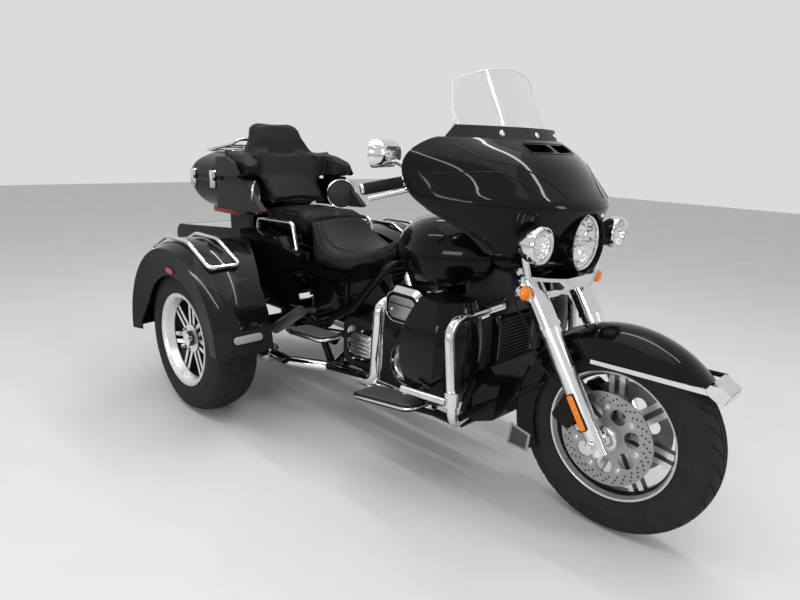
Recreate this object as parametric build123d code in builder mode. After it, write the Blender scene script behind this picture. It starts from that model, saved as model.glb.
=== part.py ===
from build123d import *
import os
from math import cos, radians, sin, tan

# A full-dress touring trike: one front wheel, two rear wheels, a fork-mounted fairing, a V-twin
# engine open to view, a trunk between the rear fenders and a top case behind the seats.
# Millimetres. X points forward, Y to the rider's left, Z up. The origin is on the ground,
# midway along the trike, so the front tyre and the rear bumper are each half a length away.

LENGTH = 2670
WIDTH = 1390
HEIGHT = 1430
WHEELBASE = 1670
RAKE = 26
FORK_ANGLE = 32
TRAIL = 99
FIT = 0.3

# Wheels: 130/90-16 in front and 205/65-15 at the rear
FRONT_TYRE_R = 320
FRONT_TYRE_W = 130
FRONT_BEAD_R = 203
FRONT_RIM_HALF = 46
REAR_TYRE_R = 324
REAR_TYRE_W = 205
REAR_BEAD_R = 191
REAR_RIM_HALF = 95
REAR_WHEEL_Y = 545
FLANGE = 13
SPOKE_PAIRS = 7
FRONT_SPOKE_START = 43

FRONT_X = LENGTH / 2 - FRONT_TYRE_R
REAR_X = FRONT_X - WHEELBASE
REAR_END = -LENGTH / 2

# Steering: the axis meets the ground TRAIL ahead of the front axle
STEER_GROUND_X = FRONT_X + TRAIL
LEG_Y = 130
FENDER_HALF = 86
SLIDER_R = 30
COVER_R = 36
SLIDER_LENGTH = 375
COVER_LENGTH = 165
LOWER_CLAMP_Z = 795
UPPER_CLAMP_Z = 965
HEAD_TUBE_R = 38
STEM_R = 17


def steer_x(z):
    """X of the steering axis at height z."""
    return STEER_GROUND_X - z * tan(radians(RAKE))


def leg_x(z):
    """X of a fork leg's centre line at height z."""
    return FRONT_X - (z - FRONT_TYRE_R) * tan(radians(FORK_ANGLE))


def rear(x):
    """X of a point that lies x ahead of the rear axle."""
    return REAR_X + x


def wheel_plane(x, y, z):
    """A plane through a wheel's centre that holds its axle: local x is across, local y is up."""
    return Plane(origin=(x, y, z), x_dir=(0, 1, 0), z_dir=(1, 0, 0))


def side_plane(x, y, z):
    """A plane square to the axle, seen from the right-hand side: local x is forward."""
    return Plane(origin=(x, y, z), x_dir=(1, 0, 0), z_dir=(0, -1, 0))


def tube(points, bend, radius):
    """A round tube or rod along straight runs joined by arcs."""
    with BuildPart() as piece:
        with BuildLine():
            if len(points) == 2:
                route = Line(*points)
            else:
                route = FilletPolyline(*points, radius=bend)
        with BuildSketch(Plane(origin=route @ 0, z_dir=route % 0)):
            Circle(radius)
        sweep()
    return piece.part


def write(piece, name):
    piece.part.label = name
    export_step(piece.part, f"parts/{name}.step")


os.makedirs("parts", exist_ok=True)


# Tyres

def tyre(x, y, z, outer_r, width, bead_r, rim_half):
    """A tyre as a ring from its bead seat to its crown."""
    shoulder = 0.38 * width
    drop = 0.055 * width
    with BuildPart() as piece:
        with BuildSketch(wheel_plane(x, y, z)):
            with BuildLine():
                Line((rim_half - FLANGE, bead_r), (FLANGE - rim_half, bead_r))
                Line((FLANGE - rim_half, bead_r), (4 - rim_half, bead_r + FLANGE + 2))
                ThreePointArc(
                    (4 - rim_half, bead_r + FLANGE + 2),
                    (-width / 2, (bead_r + outer_r) / 2),
                    (-shoulder, outer_r - drop),
                )
                ThreePointArc((-shoulder, outer_r - drop), (0, outer_r), (shoulder, outer_r - drop))
                ThreePointArc(
                    (shoulder, outer_r - drop),
                    (width / 2, (bead_r + outer_r) / 2),
                    (rim_half - 4, bead_r + FLANGE + 2),
                )
                Line((rim_half - 4, bead_r + FLANGE + 2), (rim_half - FLANGE, bead_r))
            make_face()
        revolve(axis=Axis((x, y, z), (0, 1, 0)))
    return piece.part


with BuildPart() as front_tyre:
    add(tyre(FRONT_X, 0, FRONT_TYRE_R, FRONT_TYRE_R, FRONT_TYRE_W, FRONT_BEAD_R, FRONT_RIM_HALF))
with BuildPart() as rear_tyre_right:
    add(tyre(REAR_X, -REAR_WHEEL_Y, REAR_TYRE_R, REAR_TYRE_R, REAR_TYRE_W, REAR_BEAD_R, REAR_RIM_HALF))
with BuildPart() as rear_tyre_left:
    mirror(rear_tyre_right.part, about=Plane.XZ)


# Cast wheels: a rim, a hub and seven split spokes

FRONT_HUB_R = 52
FRONT_HUB_HALF = 62
AXLE_R = 12
FRONT_RIM_WALL = 9
SPOKE_WIDTH = 17
SPOKE_SPLIT = 34
FRONT_SPOKE_DEPTH = 26

with BuildPart() as front_rim:
    with BuildSketch(wheel_plane(FRONT_X, 0, FRONT_TYRE_R)):
        with BuildLine():
            Polyline(
                (-FRONT_RIM_HALF, FRONT_BEAD_R + FLANGE),
                (4 - FRONT_RIM_HALF, FRONT_BEAD_R + FLANGE),
                (FLANGE - FRONT_RIM_HALF, FRONT_BEAD_R),
                (FRONT_RIM_HALF - FLANGE, FRONT_BEAD_R),
                (FRONT_RIM_HALF - 4, FRONT_BEAD_R + FLANGE),
                (FRONT_RIM_HALF, FRONT_BEAD_R + FLANGE),
                (FRONT_RIM_HALF, FRONT_BEAD_R),
                (FRONT_SPOKE_DEPTH / 2, FRONT_BEAD_R - FRONT_RIM_WALL - 6),
                (-FRONT_SPOKE_DEPTH / 2, FRONT_BEAD_R - FRONT_RIM_WALL - 6),
                (-FRONT_RIM_HALF, FRONT_BEAD_R),
                close=True,
            )
        make_face()
    revolve(axis=Axis((FRONT_X, 0, FRONT_TYRE_R), (0, 1, 0)))
    with BuildSketch(side_plane(FRONT_X, FRONT_HUB_HALF, FRONT_TYRE_R)):
        Circle(FRONT_HUB_R)
    extrude(amount=2 * FRONT_HUB_HALF)
    with BuildSketch(side_plane(FRONT_X, FRONT_SPOKE_DEPTH / 2, FRONT_TYRE_R)):
        spoke_length = FRONT_BEAD_R - FRONT_RIM_WALL - FRONT_HUB_R + 8
        spoke_middle = FRONT_HUB_R - 4 + spoke_length / 2
        with PolarLocations(spoke_middle, SPOKE_PAIRS, start_angle=FRONT_SPOKE_START):
            with Locations((0, SPOKE_SPLIT / 2), (0, -SPOKE_SPLIT / 2)):
                Rectangle(spoke_length, SPOKE_WIDTH)
    extrude(amount=FRONT_SPOKE_DEPTH)
    with Locations(side_plane(FRONT_X, 0, FRONT_TYRE_R)):
        Hole(AXLE_R + 0.05)

REAR_HUB_R = 62
REAR_SPOKE_DEPTH = 30
REAR_DISH = 46
REAR_RIM_WALL = 8

with BuildPart() as rear_rim_right:
    spoke_face = REAR_DISH - REAR_RIM_HALF
    with BuildSketch(wheel_plane(REAR_X, -REAR_WHEEL_Y, REAR_TYRE_R)):
        with BuildLine():
            Polyline(
                (-REAR_RIM_HALF, REAR_BEAD_R + FLANGE),
                (4 - REAR_RIM_HALF, REAR_BEAD_R + FLANGE),
                (FLANGE - REAR_RIM_HALF, REAR_BEAD_R),
                (REAR_RIM_HALF - FLANGE, REAR_BEAD_R),
                (REAR_RIM_HALF - 4, REAR_BEAD_R + FLANGE),
                (REAR_RIM_HALF, REAR_BEAD_R + FLANGE),
                (REAR_RIM_HALF, REAR_BEAD_R - REAR_RIM_WALL),
                (spoke_face + REAR_SPOKE_DEPTH, REAR_BEAD_R - REAR_RIM_WALL - 12),
                (spoke_face, REAR_BEAD_R - REAR_RIM_WALL - 12),
                (10 - REAR_RIM_HALF, REAR_BEAD_R - REAR_RIM_WALL),
                (-REAR_RIM_HALF, REAR_BEAD_R),
                close=True,
            )
        make_face()
    revolve(axis=Axis((REAR_X, -REAR_WHEEL_Y, REAR_TYRE_R), (0, 1, 0)))
    with BuildSketch(side_plane(REAR_X, spoke_face + REAR_SPOKE_DEPTH - REAR_WHEEL_Y, REAR_TYRE_R)):
        rear_spoke_length = REAR_BEAD_R - REAR_RIM_WALL - REAR_HUB_R
        rear_spoke_middle = REAR_HUB_R - 4 + rear_spoke_length / 2
        with PolarLocations(rear_spoke_middle, SPOKE_PAIRS, start_angle=90):
            with Locations((0, SPOKE_SPLIT / 2), (0, -SPOKE_SPLIT / 2)):
                Rectangle(rear_spoke_length, SPOKE_WIDTH)
    extrude(amount=REAR_SPOKE_DEPTH)
    with BuildSketch(side_plane(REAR_X, spoke_face + 70 - REAR_WHEEL_Y, REAR_TYRE_R)):
        Circle(REAR_HUB_R)
    extrude(amount=76)
    with BuildSketch(side_plane(REAR_X, spoke_face - 6 - REAR_WHEEL_Y, REAR_TYRE_R)):
        Circle(34)
    extrude(amount=22, taper=8)
with BuildPart() as rear_rim_left:
    mirror(rear_rim_right.part, about=Plane.XZ)

# Brake discs with their windows, one on each side of the front hub
DISC_Y = 69
DISC_R = 150
DISC_THICK = 5
DISC_BAND = 34

with BuildPart() as front_discs:
    with BuildSketch(side_plane(FRONT_X, -DISC_Y, FRONT_TYRE_R)):
        Circle(DISC_R)
        Circle(AXLE_R + 6, mode=Mode.SUBTRACT)
        with PolarLocations((FRONT_HUB_R + DISC_R - DISC_BAND) / 2 + 2, SPOKE_PAIRS, start_angle=68.7):
            Circle(25, mode=Mode.SUBTRACT)
    extrude(amount=DISC_THICK)
    with BuildSketch(side_plane(FRONT_X, -FRONT_HUB_HALF, FRONT_TYRE_R)):
        Circle(FRONT_HUB_R - 8)
        Circle(AXLE_R + 6, mode=Mode.SUBTRACT)
    extrude(amount=DISC_Y - FRONT_HUB_HALF)
    mirror(about=Plane.XZ)


# Fork: two sliders on the axle, their covers, and two clamps on a stem in the steering head

fork_direction = Vector(-sin(radians(FORK_ANGLE)), 0, cos(radians(FORK_ANGLE)))
leg_start = Vector(FRONT_X, -LEG_Y, FRONT_TYRE_R)
steer_direction = Vector(-sin(radians(RAKE)), 0, cos(radians(RAKE)))

with BuildPart() as fork_sliders:
    with BuildSketch(Plane(origin=leg_start - fork_direction * 34, z_dir=fork_direction)):
        Circle(SLIDER_R - 3)
    extrude(amount=34 + 90)
    with BuildSketch(Plane(origin=leg_start + fork_direction * 88, z_dir=fork_direction)):
        Circle(SLIDER_R)
    extrude(amount=SLIDER_LENGTH - 88)
    with BuildSketch(Plane(origin=leg_start + fork_direction * (SLIDER_LENGTH - 22), z_dir=fork_direction)):
        Circle(SLIDER_R + 4)
    extrude(amount=22)
    with BuildSketch(side_plane(leg_x(560), -FENDER_HALF - FIT, 560)):
        Circle(15)
    extrude(amount=LEG_Y - SLIDER_R - FENDER_HALF + 6)
    mirror(about=Plane.XZ)
    with BuildSketch(side_plane(FRONT_X, LEG_Y, FRONT_TYRE_R)):
        Circle(AXLE_R)
    extrude(amount=2 * LEG_Y)

cover_start = SLIDER_LENGTH + FIT
with BuildPart() as fork_covers:
    with BuildSketch(Plane(origin=leg_start + fork_direction * cover_start, z_dir=fork_direction)):
        Circle(COVER_R + 3)
    extrude(amount=14)
    with BuildSketch(Plane(origin=leg_start + fork_direction * (cover_start + 14), z_dir=fork_direction)):
        Circle(COVER_R)
    extrude(amount=COVER_LENGTH - 14)
    mirror(about=Plane.XZ)

cover_end = cover_start + COVER_LENGTH
TUBE_R = 24
CLAMP_THICK = 34
tube_length = (UPPER_CLAMP_Z - FRONT_TYRE_R) / cos(radians(FORK_ANGLE)) - cover_end + 30

with BuildPart() as fork_clamps:
    for side in (-1, 1):
        foot = Vector(FRONT_X, side * LEG_Y, FRONT_TYRE_R) + fork_direction * cover_end
        with BuildSketch(Plane(origin=foot, z_dir=fork_direction)):
            Circle(TUBE_R)
        extrude(amount=tube_length)
    for z in (LOWER_CLAMP_Z, UPPER_CLAMP_Z):
        clamp_plane = Plane(
            origin=(steer_x(z), 0, z),
            x_dir=(cos(radians(RAKE)), 0, sin(radians(RAKE))),
            z_dir=steer_direction,
        )
        with BuildSketch(clamp_plane):
            with BuildLine():
                reach = leg_x(z) - steer_x(z)
                Polyline(
                    (reach - 30, -LEG_Y - 12),
                    (reach - 14, -LEG_Y - 30),
                    (reach + 30, -LEG_Y - 30),
                    (34, -40),
                    (34, 40),
                    (reach + 30, LEG_Y + 30),
                    (reach - 14, LEG_Y + 30),
                    (reach - 30, LEG_Y + 12),
                    (-40, 40),
                    (-40, -40),
                    close=True,
                )
            make_face()
        extrude(amount=CLAMP_THICK / 2, both=True)
    stem_foot = Vector(steer_x(LOWER_CLAMP_Z), 0, LOWER_CLAMP_Z)
    stem_top = Vector(steer_x(UPPER_CLAMP_Z), 0, UPPER_CLAMP_Z)
    with BuildSketch(Plane(origin=stem_foot, z_dir=steer_direction)):
        Circle(STEM_R)
    extrude(amount=(stem_top - stem_foot).length)
    add(fork_covers.part, mode=Mode.SUBTRACT)

# Callipers behind each slider, over the disc's edge
CALLIPER_LONG = 120
with BuildPart() as brake_callipers:
    calliper_centre = (FRONT_X - 124, FRONT_TYRE_R + 60)
    with BuildSketch(side_plane(calliper_centre[0], -DISC_Y + 26, calliper_centre[1])):
        with Locations((0, 0)):
            Rectangle(74, CALLIPER_LONG, rotation=-26)
    extrude(amount=DISC_THICK + 46)
    fillet(brake_callipers.edges().filter_by(Axis.Y), 14)
    with BuildSketch(side_plane(FRONT_X, -DISC_Y + 5, FRONT_TYRE_R)):
        Circle(DISC_R + 6)
    extrude(amount=DISC_THICK + 10, mode=Mode.SUBTRACT)
    add(
        tube(
            [
                Vector(calliper_centre[0] + 20, -LEG_Y + 34, calliper_centre[1] + 20),
                Vector(leg_x(FRONT_TYRE_R + 110), -LEG_Y + 34, FRONT_TYRE_R + 110),
            ],
            1,
            9,
        )
    )
    add(fork_sliders.part, mode=Mode.SUBTRACT)
    mirror(about=Plane.XZ)

# Front fender: an arch over the tyre with deep skirts, cut to the real outline
FENDER_R = 352
FENDER_WALL = 3
SKIRT_R = 252
FENDER_TIP_ANGLE = 36
FENDER_TAIL_ANGLE = 207

with BuildPart() as front_fender:
    tip = radians(FENDER_TIP_ANGLE)
    fender_plane = Plane(
        origin=(FRONT_X, 0, FRONT_TYRE_R), x_dir=(0, 1, 0), z_dir=(sin(tip), 0, -cos(tip))
    )
    with BuildSketch(fender_plane):
        with BuildLine():
            crown = FENDER_R - 34
            inner = FENDER_HALF - FENDER_WALL
            Line((-FENDER_HALF, SKIRT_R), (-FENDER_HALF, crown))
            ThreePointArc((-FENDER_HALF, crown), (0, FENDER_R), (FENDER_HALF, crown))
            Line((FENDER_HALF, crown), (FENDER_HALF, SKIRT_R))
            Line((FENDER_HALF, SKIRT_R), (inner, SKIRT_R))
            Line((inner, SKIRT_R), (inner, crown))
            ThreePointArc((inner, crown), (0, FENDER_R - FENDER_WALL), (-inner, crown))
            Line((-inner, crown), (-inner, SKIRT_R))
            Line((-inner, SKIRT_R), (-FENDER_HALF, SKIRT_R))
        make_face()
    revolve(
        axis=Axis((FRONT_X, 0, FRONT_TYRE_R), (0, -1, 0)),
        revolution_arc=FENDER_TAIL_ANGLE - FENDER_TIP_ANGLE,
    )
    with BuildSketch(side_plane(FRONT_X, 2 * FENDER_HALF, FRONT_TYRE_R)):
        with BuildLine():
            Polyline((-95, -60), (-95, 228), (300, 236), (300, -60), close=True)
        make_face()
    extrude(amount=4 * FENDER_HALF, mode=Mode.SUBTRACT)

# Fender trim: a chrome strip on each lower edge and the tip lamp
with BuildPart() as fender_trim:
    with BuildSketch(side_plane(FRONT_X, -FENDER_HALF - FIT, FRONT_TYRE_R)):
        with BuildLine():
            Polyline((-70, 230), (272, 237), (262, 252), (-70, 243), close=True)
        make_face()
    extrude(amount=5)
    mirror(about=Plane.XZ)
    with BuildSketch(side_plane(FRONT_X, 46, FRONT_TYRE_R)):
        with BuildLine():
            Polyline((246, 228), (300, 198), (316, 236), (268, 264), close=True)
        make_face()
    extrude(amount=92)
    add(front_fender.part, mode=Mode.SUBTRACT)

# Lamps: the headlamp in the fairing's nose and a passing lamp on each side
HEADLAMP_R = 92
PASSING_R = 57
HEADLAMP_Z = 897
PASSING_Z = 908
PASSING_Y = 236
HEADLAMP_FACE = FRONT_X - 178
PASSING_FACE = FRONT_X - 178

with BuildPart() as headlamp:
    with BuildSketch(wheel_plane(HEADLAMP_FACE - 70, 0, HEADLAMP_Z)):
        Circle(HEADLAMP_R)
    extrude(amount=70)
    chamfer(headlamp.faces().sort_by(Axis.X)[-1].edges(), 10)

with BuildPart() as passing_lamps:
    with BuildSketch(wheel_plane(PASSING_FACE - 82, -PASSING_Y, PASSING_Z)):
        Circle(34)
    with BuildSketch(wheel_plane(PASSING_FACE - 34, -PASSING_Y, PASSING_Z)):
        Circle(PASSING_R)
    loft()
    with BuildSketch(wheel_plane(PASSING_FACE - 34, -PASSING_Y, PASSING_Z)):
        Circle(PASSING_R)
    extrude(amount=34)
    mirror(about=Plane.XZ)

# Lamp bracket: a visor plate in front of the fork tubes and an arm up to each passing lamp
SIGNAL_Z = 755
SIGNAL_Y = 218
SIGNAL_FACE = FRONT_X - 225
BRACKET_Z = 800
BRACKET_X = FRONT_X - 262

with BuildPart() as lamp_bracket:
    with BuildSketch(side_plane(0, SIGNAL_Y + 10, 0)):
        with BuildLine():
            Polyline(
                (BRACKET_X - 16, BRACKET_Z + 4),
                (BRACKET_X + 30, BRACKET_Z + 4),
                (BRACKET_X + 84, BRACKET_Z - 8),
                (BRACKET_X + 92, BRACKET_Z - 42),
                (BRACKET_X + 86, BRACKET_Z - 44),
                (BRACKET_X + 74, BRACKET_Z - 16),
                (BRACKET_X + 28, BRACKET_Z - 8),
                (BRACKET_X - 16, BRACKET_Z - 8),
                close=True,
            )
        make_face()
    extrude(amount=2 * SIGNAL_Y + 20)
    with BuildSketch(Plane.XY.offset(BRACKET_Z - 60)):
        with BuildLine():
            front_arc = ThreePointArc(
                (BRACKET_X + 10, SIGNAL_Y + 10), (BRACKET_X + 93, 0), (BRACKET_X + 10, -SIGNAL_Y - 10)
            )
            Line(front_arc @ 1, (BRACKET_X - 20, -SIGNAL_Y + 12))
            Line((BRACKET_X - 20, -SIGNAL_Y + 12), (BRACKET_X - 20, SIGNAL_Y - 12))
            Line((BRACKET_X - 20, SIGNAL_Y - 12), front_arc @ 0)
        make_face()
    extrude(amount=100, mode=Mode.INTERSECT)
    for side in (-1, 1):
        add(
            tube(
                [
                    (BRACKET_X + 16, side * (SIGNAL_Y - 18), BRACKET_Z - 2),
                    (PASSING_FACE - 66, side * (PASSING_Y - 4), PASSING_Z - 40),
                ],
                1,
                12,
            )
        )
    add(fork_covers.part, mode=Mode.SUBTRACT)
    add(fork_clamps.part, mode=Mode.SUBTRACT)
    add(passing_lamps.part, mode=Mode.SUBTRACT)

with BuildPart() as turn_signals:
    with BuildSketch(wheel_plane(SIGNAL_FACE - 46, -SIGNAL_Y, SIGNAL_Z)):
        Circle(24)
    extrude(amount=46)
    fillet(turn_signals.faces().sort_by(Axis.X)[-1].edges(), 10)
    with BuildSketch(Plane.XY.offset(SIGNAL_Z + 10)):
        with Locations((SIGNAL_FACE - 30, -SIGNAL_Y)):
            Circle(7)
    extrude(amount=BRACKET_Z - SIGNAL_Z - 14)
    add(lamp_bracket.part, mode=Mode.SUBTRACT)
    mirror(about=Plane.XZ)

# Outer fairing: level sections from the chin below the headlamp, over the brow, to the top
# z, nose x ahead of the rear axle, half width, x of the wing's edge
FAIRING_LEVELS = [
    (812, 1436, 205, 1352),
    (860, 1464, 262, 1322),
    (905, 1482, 290, 1290),
    (950, 1496, 345, 1245),
    (985, 1504, 385, 1192),
    (1016, 1506, 410, 1150),
    (1050, 1478, 420, 1112),
    (1086, 1446, 425, 1096),
    (1130, 1406, 422, 1094),
    (1165, 1364, 400, 1108),
    (1190, 1322, 365, 1130),
    (1203, 1300, 330, 1150),
]
FAIRING_WALL = 7
FAIRING_TOP = FAIRING_LEVELS[-1][0]
VENT_LOW = 1166
VENT_HIGH = 1190
VENT_HALF = 120


def fairing_form(inset, drop):
    """The fairing's closed form, drawn in by inset on its front and sides and lowered by drop."""
    with BuildPart() as form:
        for z, nose, half, wing in FAIRING_LEVELS:
            with BuildSketch(Plane.XY.offset(z - drop)):
                with BuildLine():
                    back = rear(wing) - inset
                    ThreePointArc((back, half - inset), (rear(nose) - inset, 0), (back, inset - half))
                    Line((back, inset - half), (back, half - inset))
                make_face()
        loft()
    return form.part


with BuildPart() as outer_fairing:
    add(fairing_form(0, 0))
    add(fairing_form(FAIRING_WALL, FAIRING_WALL - 1), mode=Mode.SUBTRACT)
    with BuildSketch(wheel_plane(HEADLAMP_FACE - 120, 0, HEADLAMP_Z)):
        Circle(HEADLAMP_R + 1)
    extrude(amount=200, mode=Mode.SUBTRACT)
    with BuildSketch(wheel_plane(HEADLAMP_FACE - 66, 0, HEADLAMP_Z)):
        Circle(HEADLAMP_R + 6)
        Circle(HEADLAMP_R + 1, mode=Mode.SUBTRACT)
    extrude(amount=78)
    add(passing_lamps.part, mode=Mode.SUBTRACT)
    add(lamp_bracket.part, mode=Mode.SUBTRACT)
    with BuildSketch(wheel_plane(rear(1400), 0, (VENT_LOW + VENT_HIGH) / 2)):
        with Locations((VENT_HALF / 2 + 4, 0), (-VENT_HALF / 2 - 4, 0)):
            RectangleRounded(VENT_HALF - 8, VENT_HIGH - VENT_LOW, 7)
    extrude(amount=-190, mode=Mode.SUBTRACT)
    add(fork_clamps.part, mode=Mode.SUBTRACT)

# Trim band round the windshield's foot
LIP_TOP = FAIRING_TOP + 38
LIP_THICK = 10
with BuildPart() as windshield_trim:
    for z, end_x, end_y, middle in (
        (FAIRING_TOP + FIT, 1150, 302, 1288),
        (LIP_TOP, 1166, 276, 1268),
    ):
        with BuildSketch(Plane.XY.offset(z)):
            with BuildLine():
                inner_x = rear(end_x) - LIP_THICK
                inner_y = end_y - LIP_THICK
                ThreePointArc((rear(end_x), end_y), (rear(middle), 0), (rear(end_x), -end_y))
                Line((rear(end_x), -end_y), (inner_x, -inner_y))
                ThreePointArc((inner_x, -inner_y), (rear(middle) - LIP_THICK, 0), (inner_x, inner_y))
                Line((inner_x, inner_y), (rear(end_x), end_y))
            make_face()
    loft()

# Windshield: a curved clear sheet that stands in the fairing's lip
SHIELD_THICK = 4
SHIELD_FOOT_Z = FAIRING_TOP + FIT
SHIELD_HALF = 222

# Handlebar on the upper clamp, with its grips and the mirrors
BAR_R = 14
GRIP_R = 19
GRIP_END = Vector(rear(935), 452, 1030)
GRIP_IN = Vector(rear(1010), 338, 1058)
BAR_POINTS = [
    Vector(steer_x(UPPER_CLAMP_Z) - 28, 60, UPPER_CLAMP_Z + 32),
    Vector(rear(1215), 170, UPPER_CLAMP_Z + 46),
    Vector(rear(1100), 210, 1085),
    GRIP_IN,
    GRIP_END,
]

with BuildPart() as handlebar:
    for side in (1, -1):
        add(tube([Vector(p.X, side * p.Y, p.Z) for p in BAR_POINTS[:4]], 30, BAR_R))
    add(tube([(BAR_POINTS[0].X, -62, BAR_POINTS[0].Z), (BAR_POINTS[0].X, 62, BAR_POINTS[0].Z)], 1, BAR_R))
    with BuildSketch(Plane.XY.offset(UPPER_CLAMP_Z - 20)):
        with Locations((BAR_POINTS[0].X, 38), (BAR_POINTS[0].X, -38)):
            Rectangle(34, 24)
    extrude(amount=58)
    add(fork_clamps.part, mode=Mode.SUBTRACT)

# Air deflectors: a skirt behind each wing's lower edge, from the tank up to the grips
with BuildPart() as deflector:
    for (z, nose, half, wing), reach in zip(FAIRING_LEVELS[1:5], (34, 50, 60, 58)):
        with BuildSketch(Plane.XY.offset(z)):
            with BuildLine():
                Polyline(
                    (rear(wing) + 14, 4 - half),
                    (rear(wing) - reach, reach / 2 - half),
                    (rear(wing) - reach, reach / 2 + 5 - half),
                    (rear(wing) + 14, 16 - half),
                    close=True,
                )
            make_face()
    loft()
    mirror(about=Plane.XZ)

with BuildPart() as inner_fairing:
    add(fairing_form(FAIRING_WALL + FIT, FAIRING_WALL - 1 + FIT))
    with BuildSketch(side_plane(0, 500, 0)):
        with BuildLine():
            Polyline(
                (rear(1115), 985),
                (rear(1115), 1170),
                (rear(1150), 1250),
                (rear(1185), 1250),
                (rear(1215), 985),
                close=True,
            )
        make_face()
    extrude(amount=1000, mode=Mode.INTERSECT)
    add(deflector.part)
    add(outer_fairing.part, mode=Mode.SUBTRACT)
    add(handlebar.part, mode=Mode.SUBTRACT)

with BuildPart() as hand_grips:
    for side in (1, -1):
        inner_end = Vector(GRIP_IN.X, side * GRIP_IN.Y, GRIP_IN.Z)
        outer_end = Vector(GRIP_END.X, side * GRIP_END.Y, GRIP_END.Z)
        add(tube([inner_end, outer_end], 1, GRIP_R))
    add(handlebar.part, mode=Mode.SUBTRACT)

with BuildPart() as hand_controls:
    for side in (1, -1):
        add(
            tube(
                [
                    (GRIP_IN.X + 56, side * (GRIP_IN.Y - 20), GRIP_IN.Z - 14),
                    (GRIP_IN.X + 52, side * (GRIP_IN.Y + 26), GRIP_IN.Z - 20),
                    (GRIP_END.X + 45, side * (GRIP_END.Y + 4), GRIP_END.Z - 24),
                ],
                20,
                8,
            )
        )
        with BuildSketch(Plane.XY.offset(GRIP_IN.Z - 32)):
            with Locations((GRIP_IN.X + 34, side * (GRIP_IN.Y - 24))):
                RectangleRounded(74, 42, 10)
        extrude(amount=60)
    add(handlebar.part, mode=Mode.SUBTRACT)
    add(hand_grips.part, mode=Mode.SUBTRACT)

with BuildPart() as windshield:
    for z, end_x, end_y, middle in ((SHIELD_FOOT_Z, 1142, 258, 1274), (HEIGHT, 1078, 210, 1150)):
        with BuildSketch(Plane.XY.offset(z)):
            with BuildLine():
                inner_x = rear(end_x) - SHIELD_THICK
                ThreePointArc((rear(end_x), end_y), (rear(middle), 0), (rear(end_x), -end_y))
                Line((rear(end_x), -end_y), (inner_x, 2 - end_y))
                ThreePointArc((inner_x, 2 - end_y), (rear(middle) - SHIELD_THICK, 0), (inner_x, end_y - 2))
                Line((inner_x, end_y - 2), (rear(end_x), end_y))
            make_face()
    loft()
    with BuildSketch(wheel_plane(rear(1400), 0, 0)):
        with BuildLine():
            Line((-275, SHIELD_FOOT_Z), (275, SHIELD_FOOT_Z))
            Line((275, SHIELD_FOOT_Z), (SHIELD_HALF, HEIGHT - 50))
            ThreePointArc((SHIELD_HALF, HEIGHT - 50), (0, HEIGHT), (-SHIELD_HALF, HEIGHT - 50))
            Line((-SHIELD_HALF, HEIGHT - 50), (-275, SHIELD_FOOT_Z))
        make_face()
    extrude(amount=-500, mode=Mode.INTERSECT)

MIRROR_CENTRE = Vector(rear(985), 412, 1146)
with BuildPart() as mirrors:
    mirror_levels = ((0, 172, 88, 40), (24, 160, 78, 36), (42, 110, 46, 21))
    for ahead, mirror_width, mirror_height, corner in mirror_levels:
        centre = MIRROR_CENTRE + Vector(ahead, -0.35 * ahead, 0)
        with BuildSketch(Plane(origin=centre, x_dir=(0.35, 1, 0), z_dir=(1, -0.35, 0))):
            RectangleRounded(mirror_width, mirror_height, corner)
    loft()
    add(tube([MIRROR_CENTRE + Vector(20, -40, -20), MIRROR_CENTRE + Vector(175, -14, -66)], 1, 8))
    add(outer_fairing.part, mode=Mode.SUBTRACT)
    add(inner_fairing.part, mode=Mode.SUBTRACT)
    mirror(about=Plane.XZ)

# Front brake line: from the lower clamp down the right leg to the calliper
with BuildPart() as brake_line:
    add(
        tube(
            [
                (steer_x(LOWER_CLAMP_Z) - 30, -96, LOWER_CLAMP_Z - 30),
                (steer_x(LOWER_CLAMP_Z) - 60, -110, 690),
                (rear(1390), -118, 610),
                (rear(1420), -112, 520),
                (rear(1478), -100, 470),
                (rear(1532), -90, 444),
            ],
            [30, 30, 28, 24],
            3.5,
        )
    )
    add(fork_clamps.part, mode=Mode.SUBTRACT)
    add(brake_callipers.part, mode=Mode.SUBTRACT)


# Frame: a backbone and two cradle rails from the steering head to the rear

RAIL_Y = 150
RAIL_Z = 205
RAIL_R = 16
BACKBONE_R = 24
UPPER_RAIL_Y = 112
SEAT_RAIL_Z = 632
REAR_RAIL_Z = 415
REAR_RAIL_Y = 175
HEAD_LOW_Z = LOWER_CLAMP_Z + 26
HEAD_TOP_Z = UPPER_CLAMP_Z - 26

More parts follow.
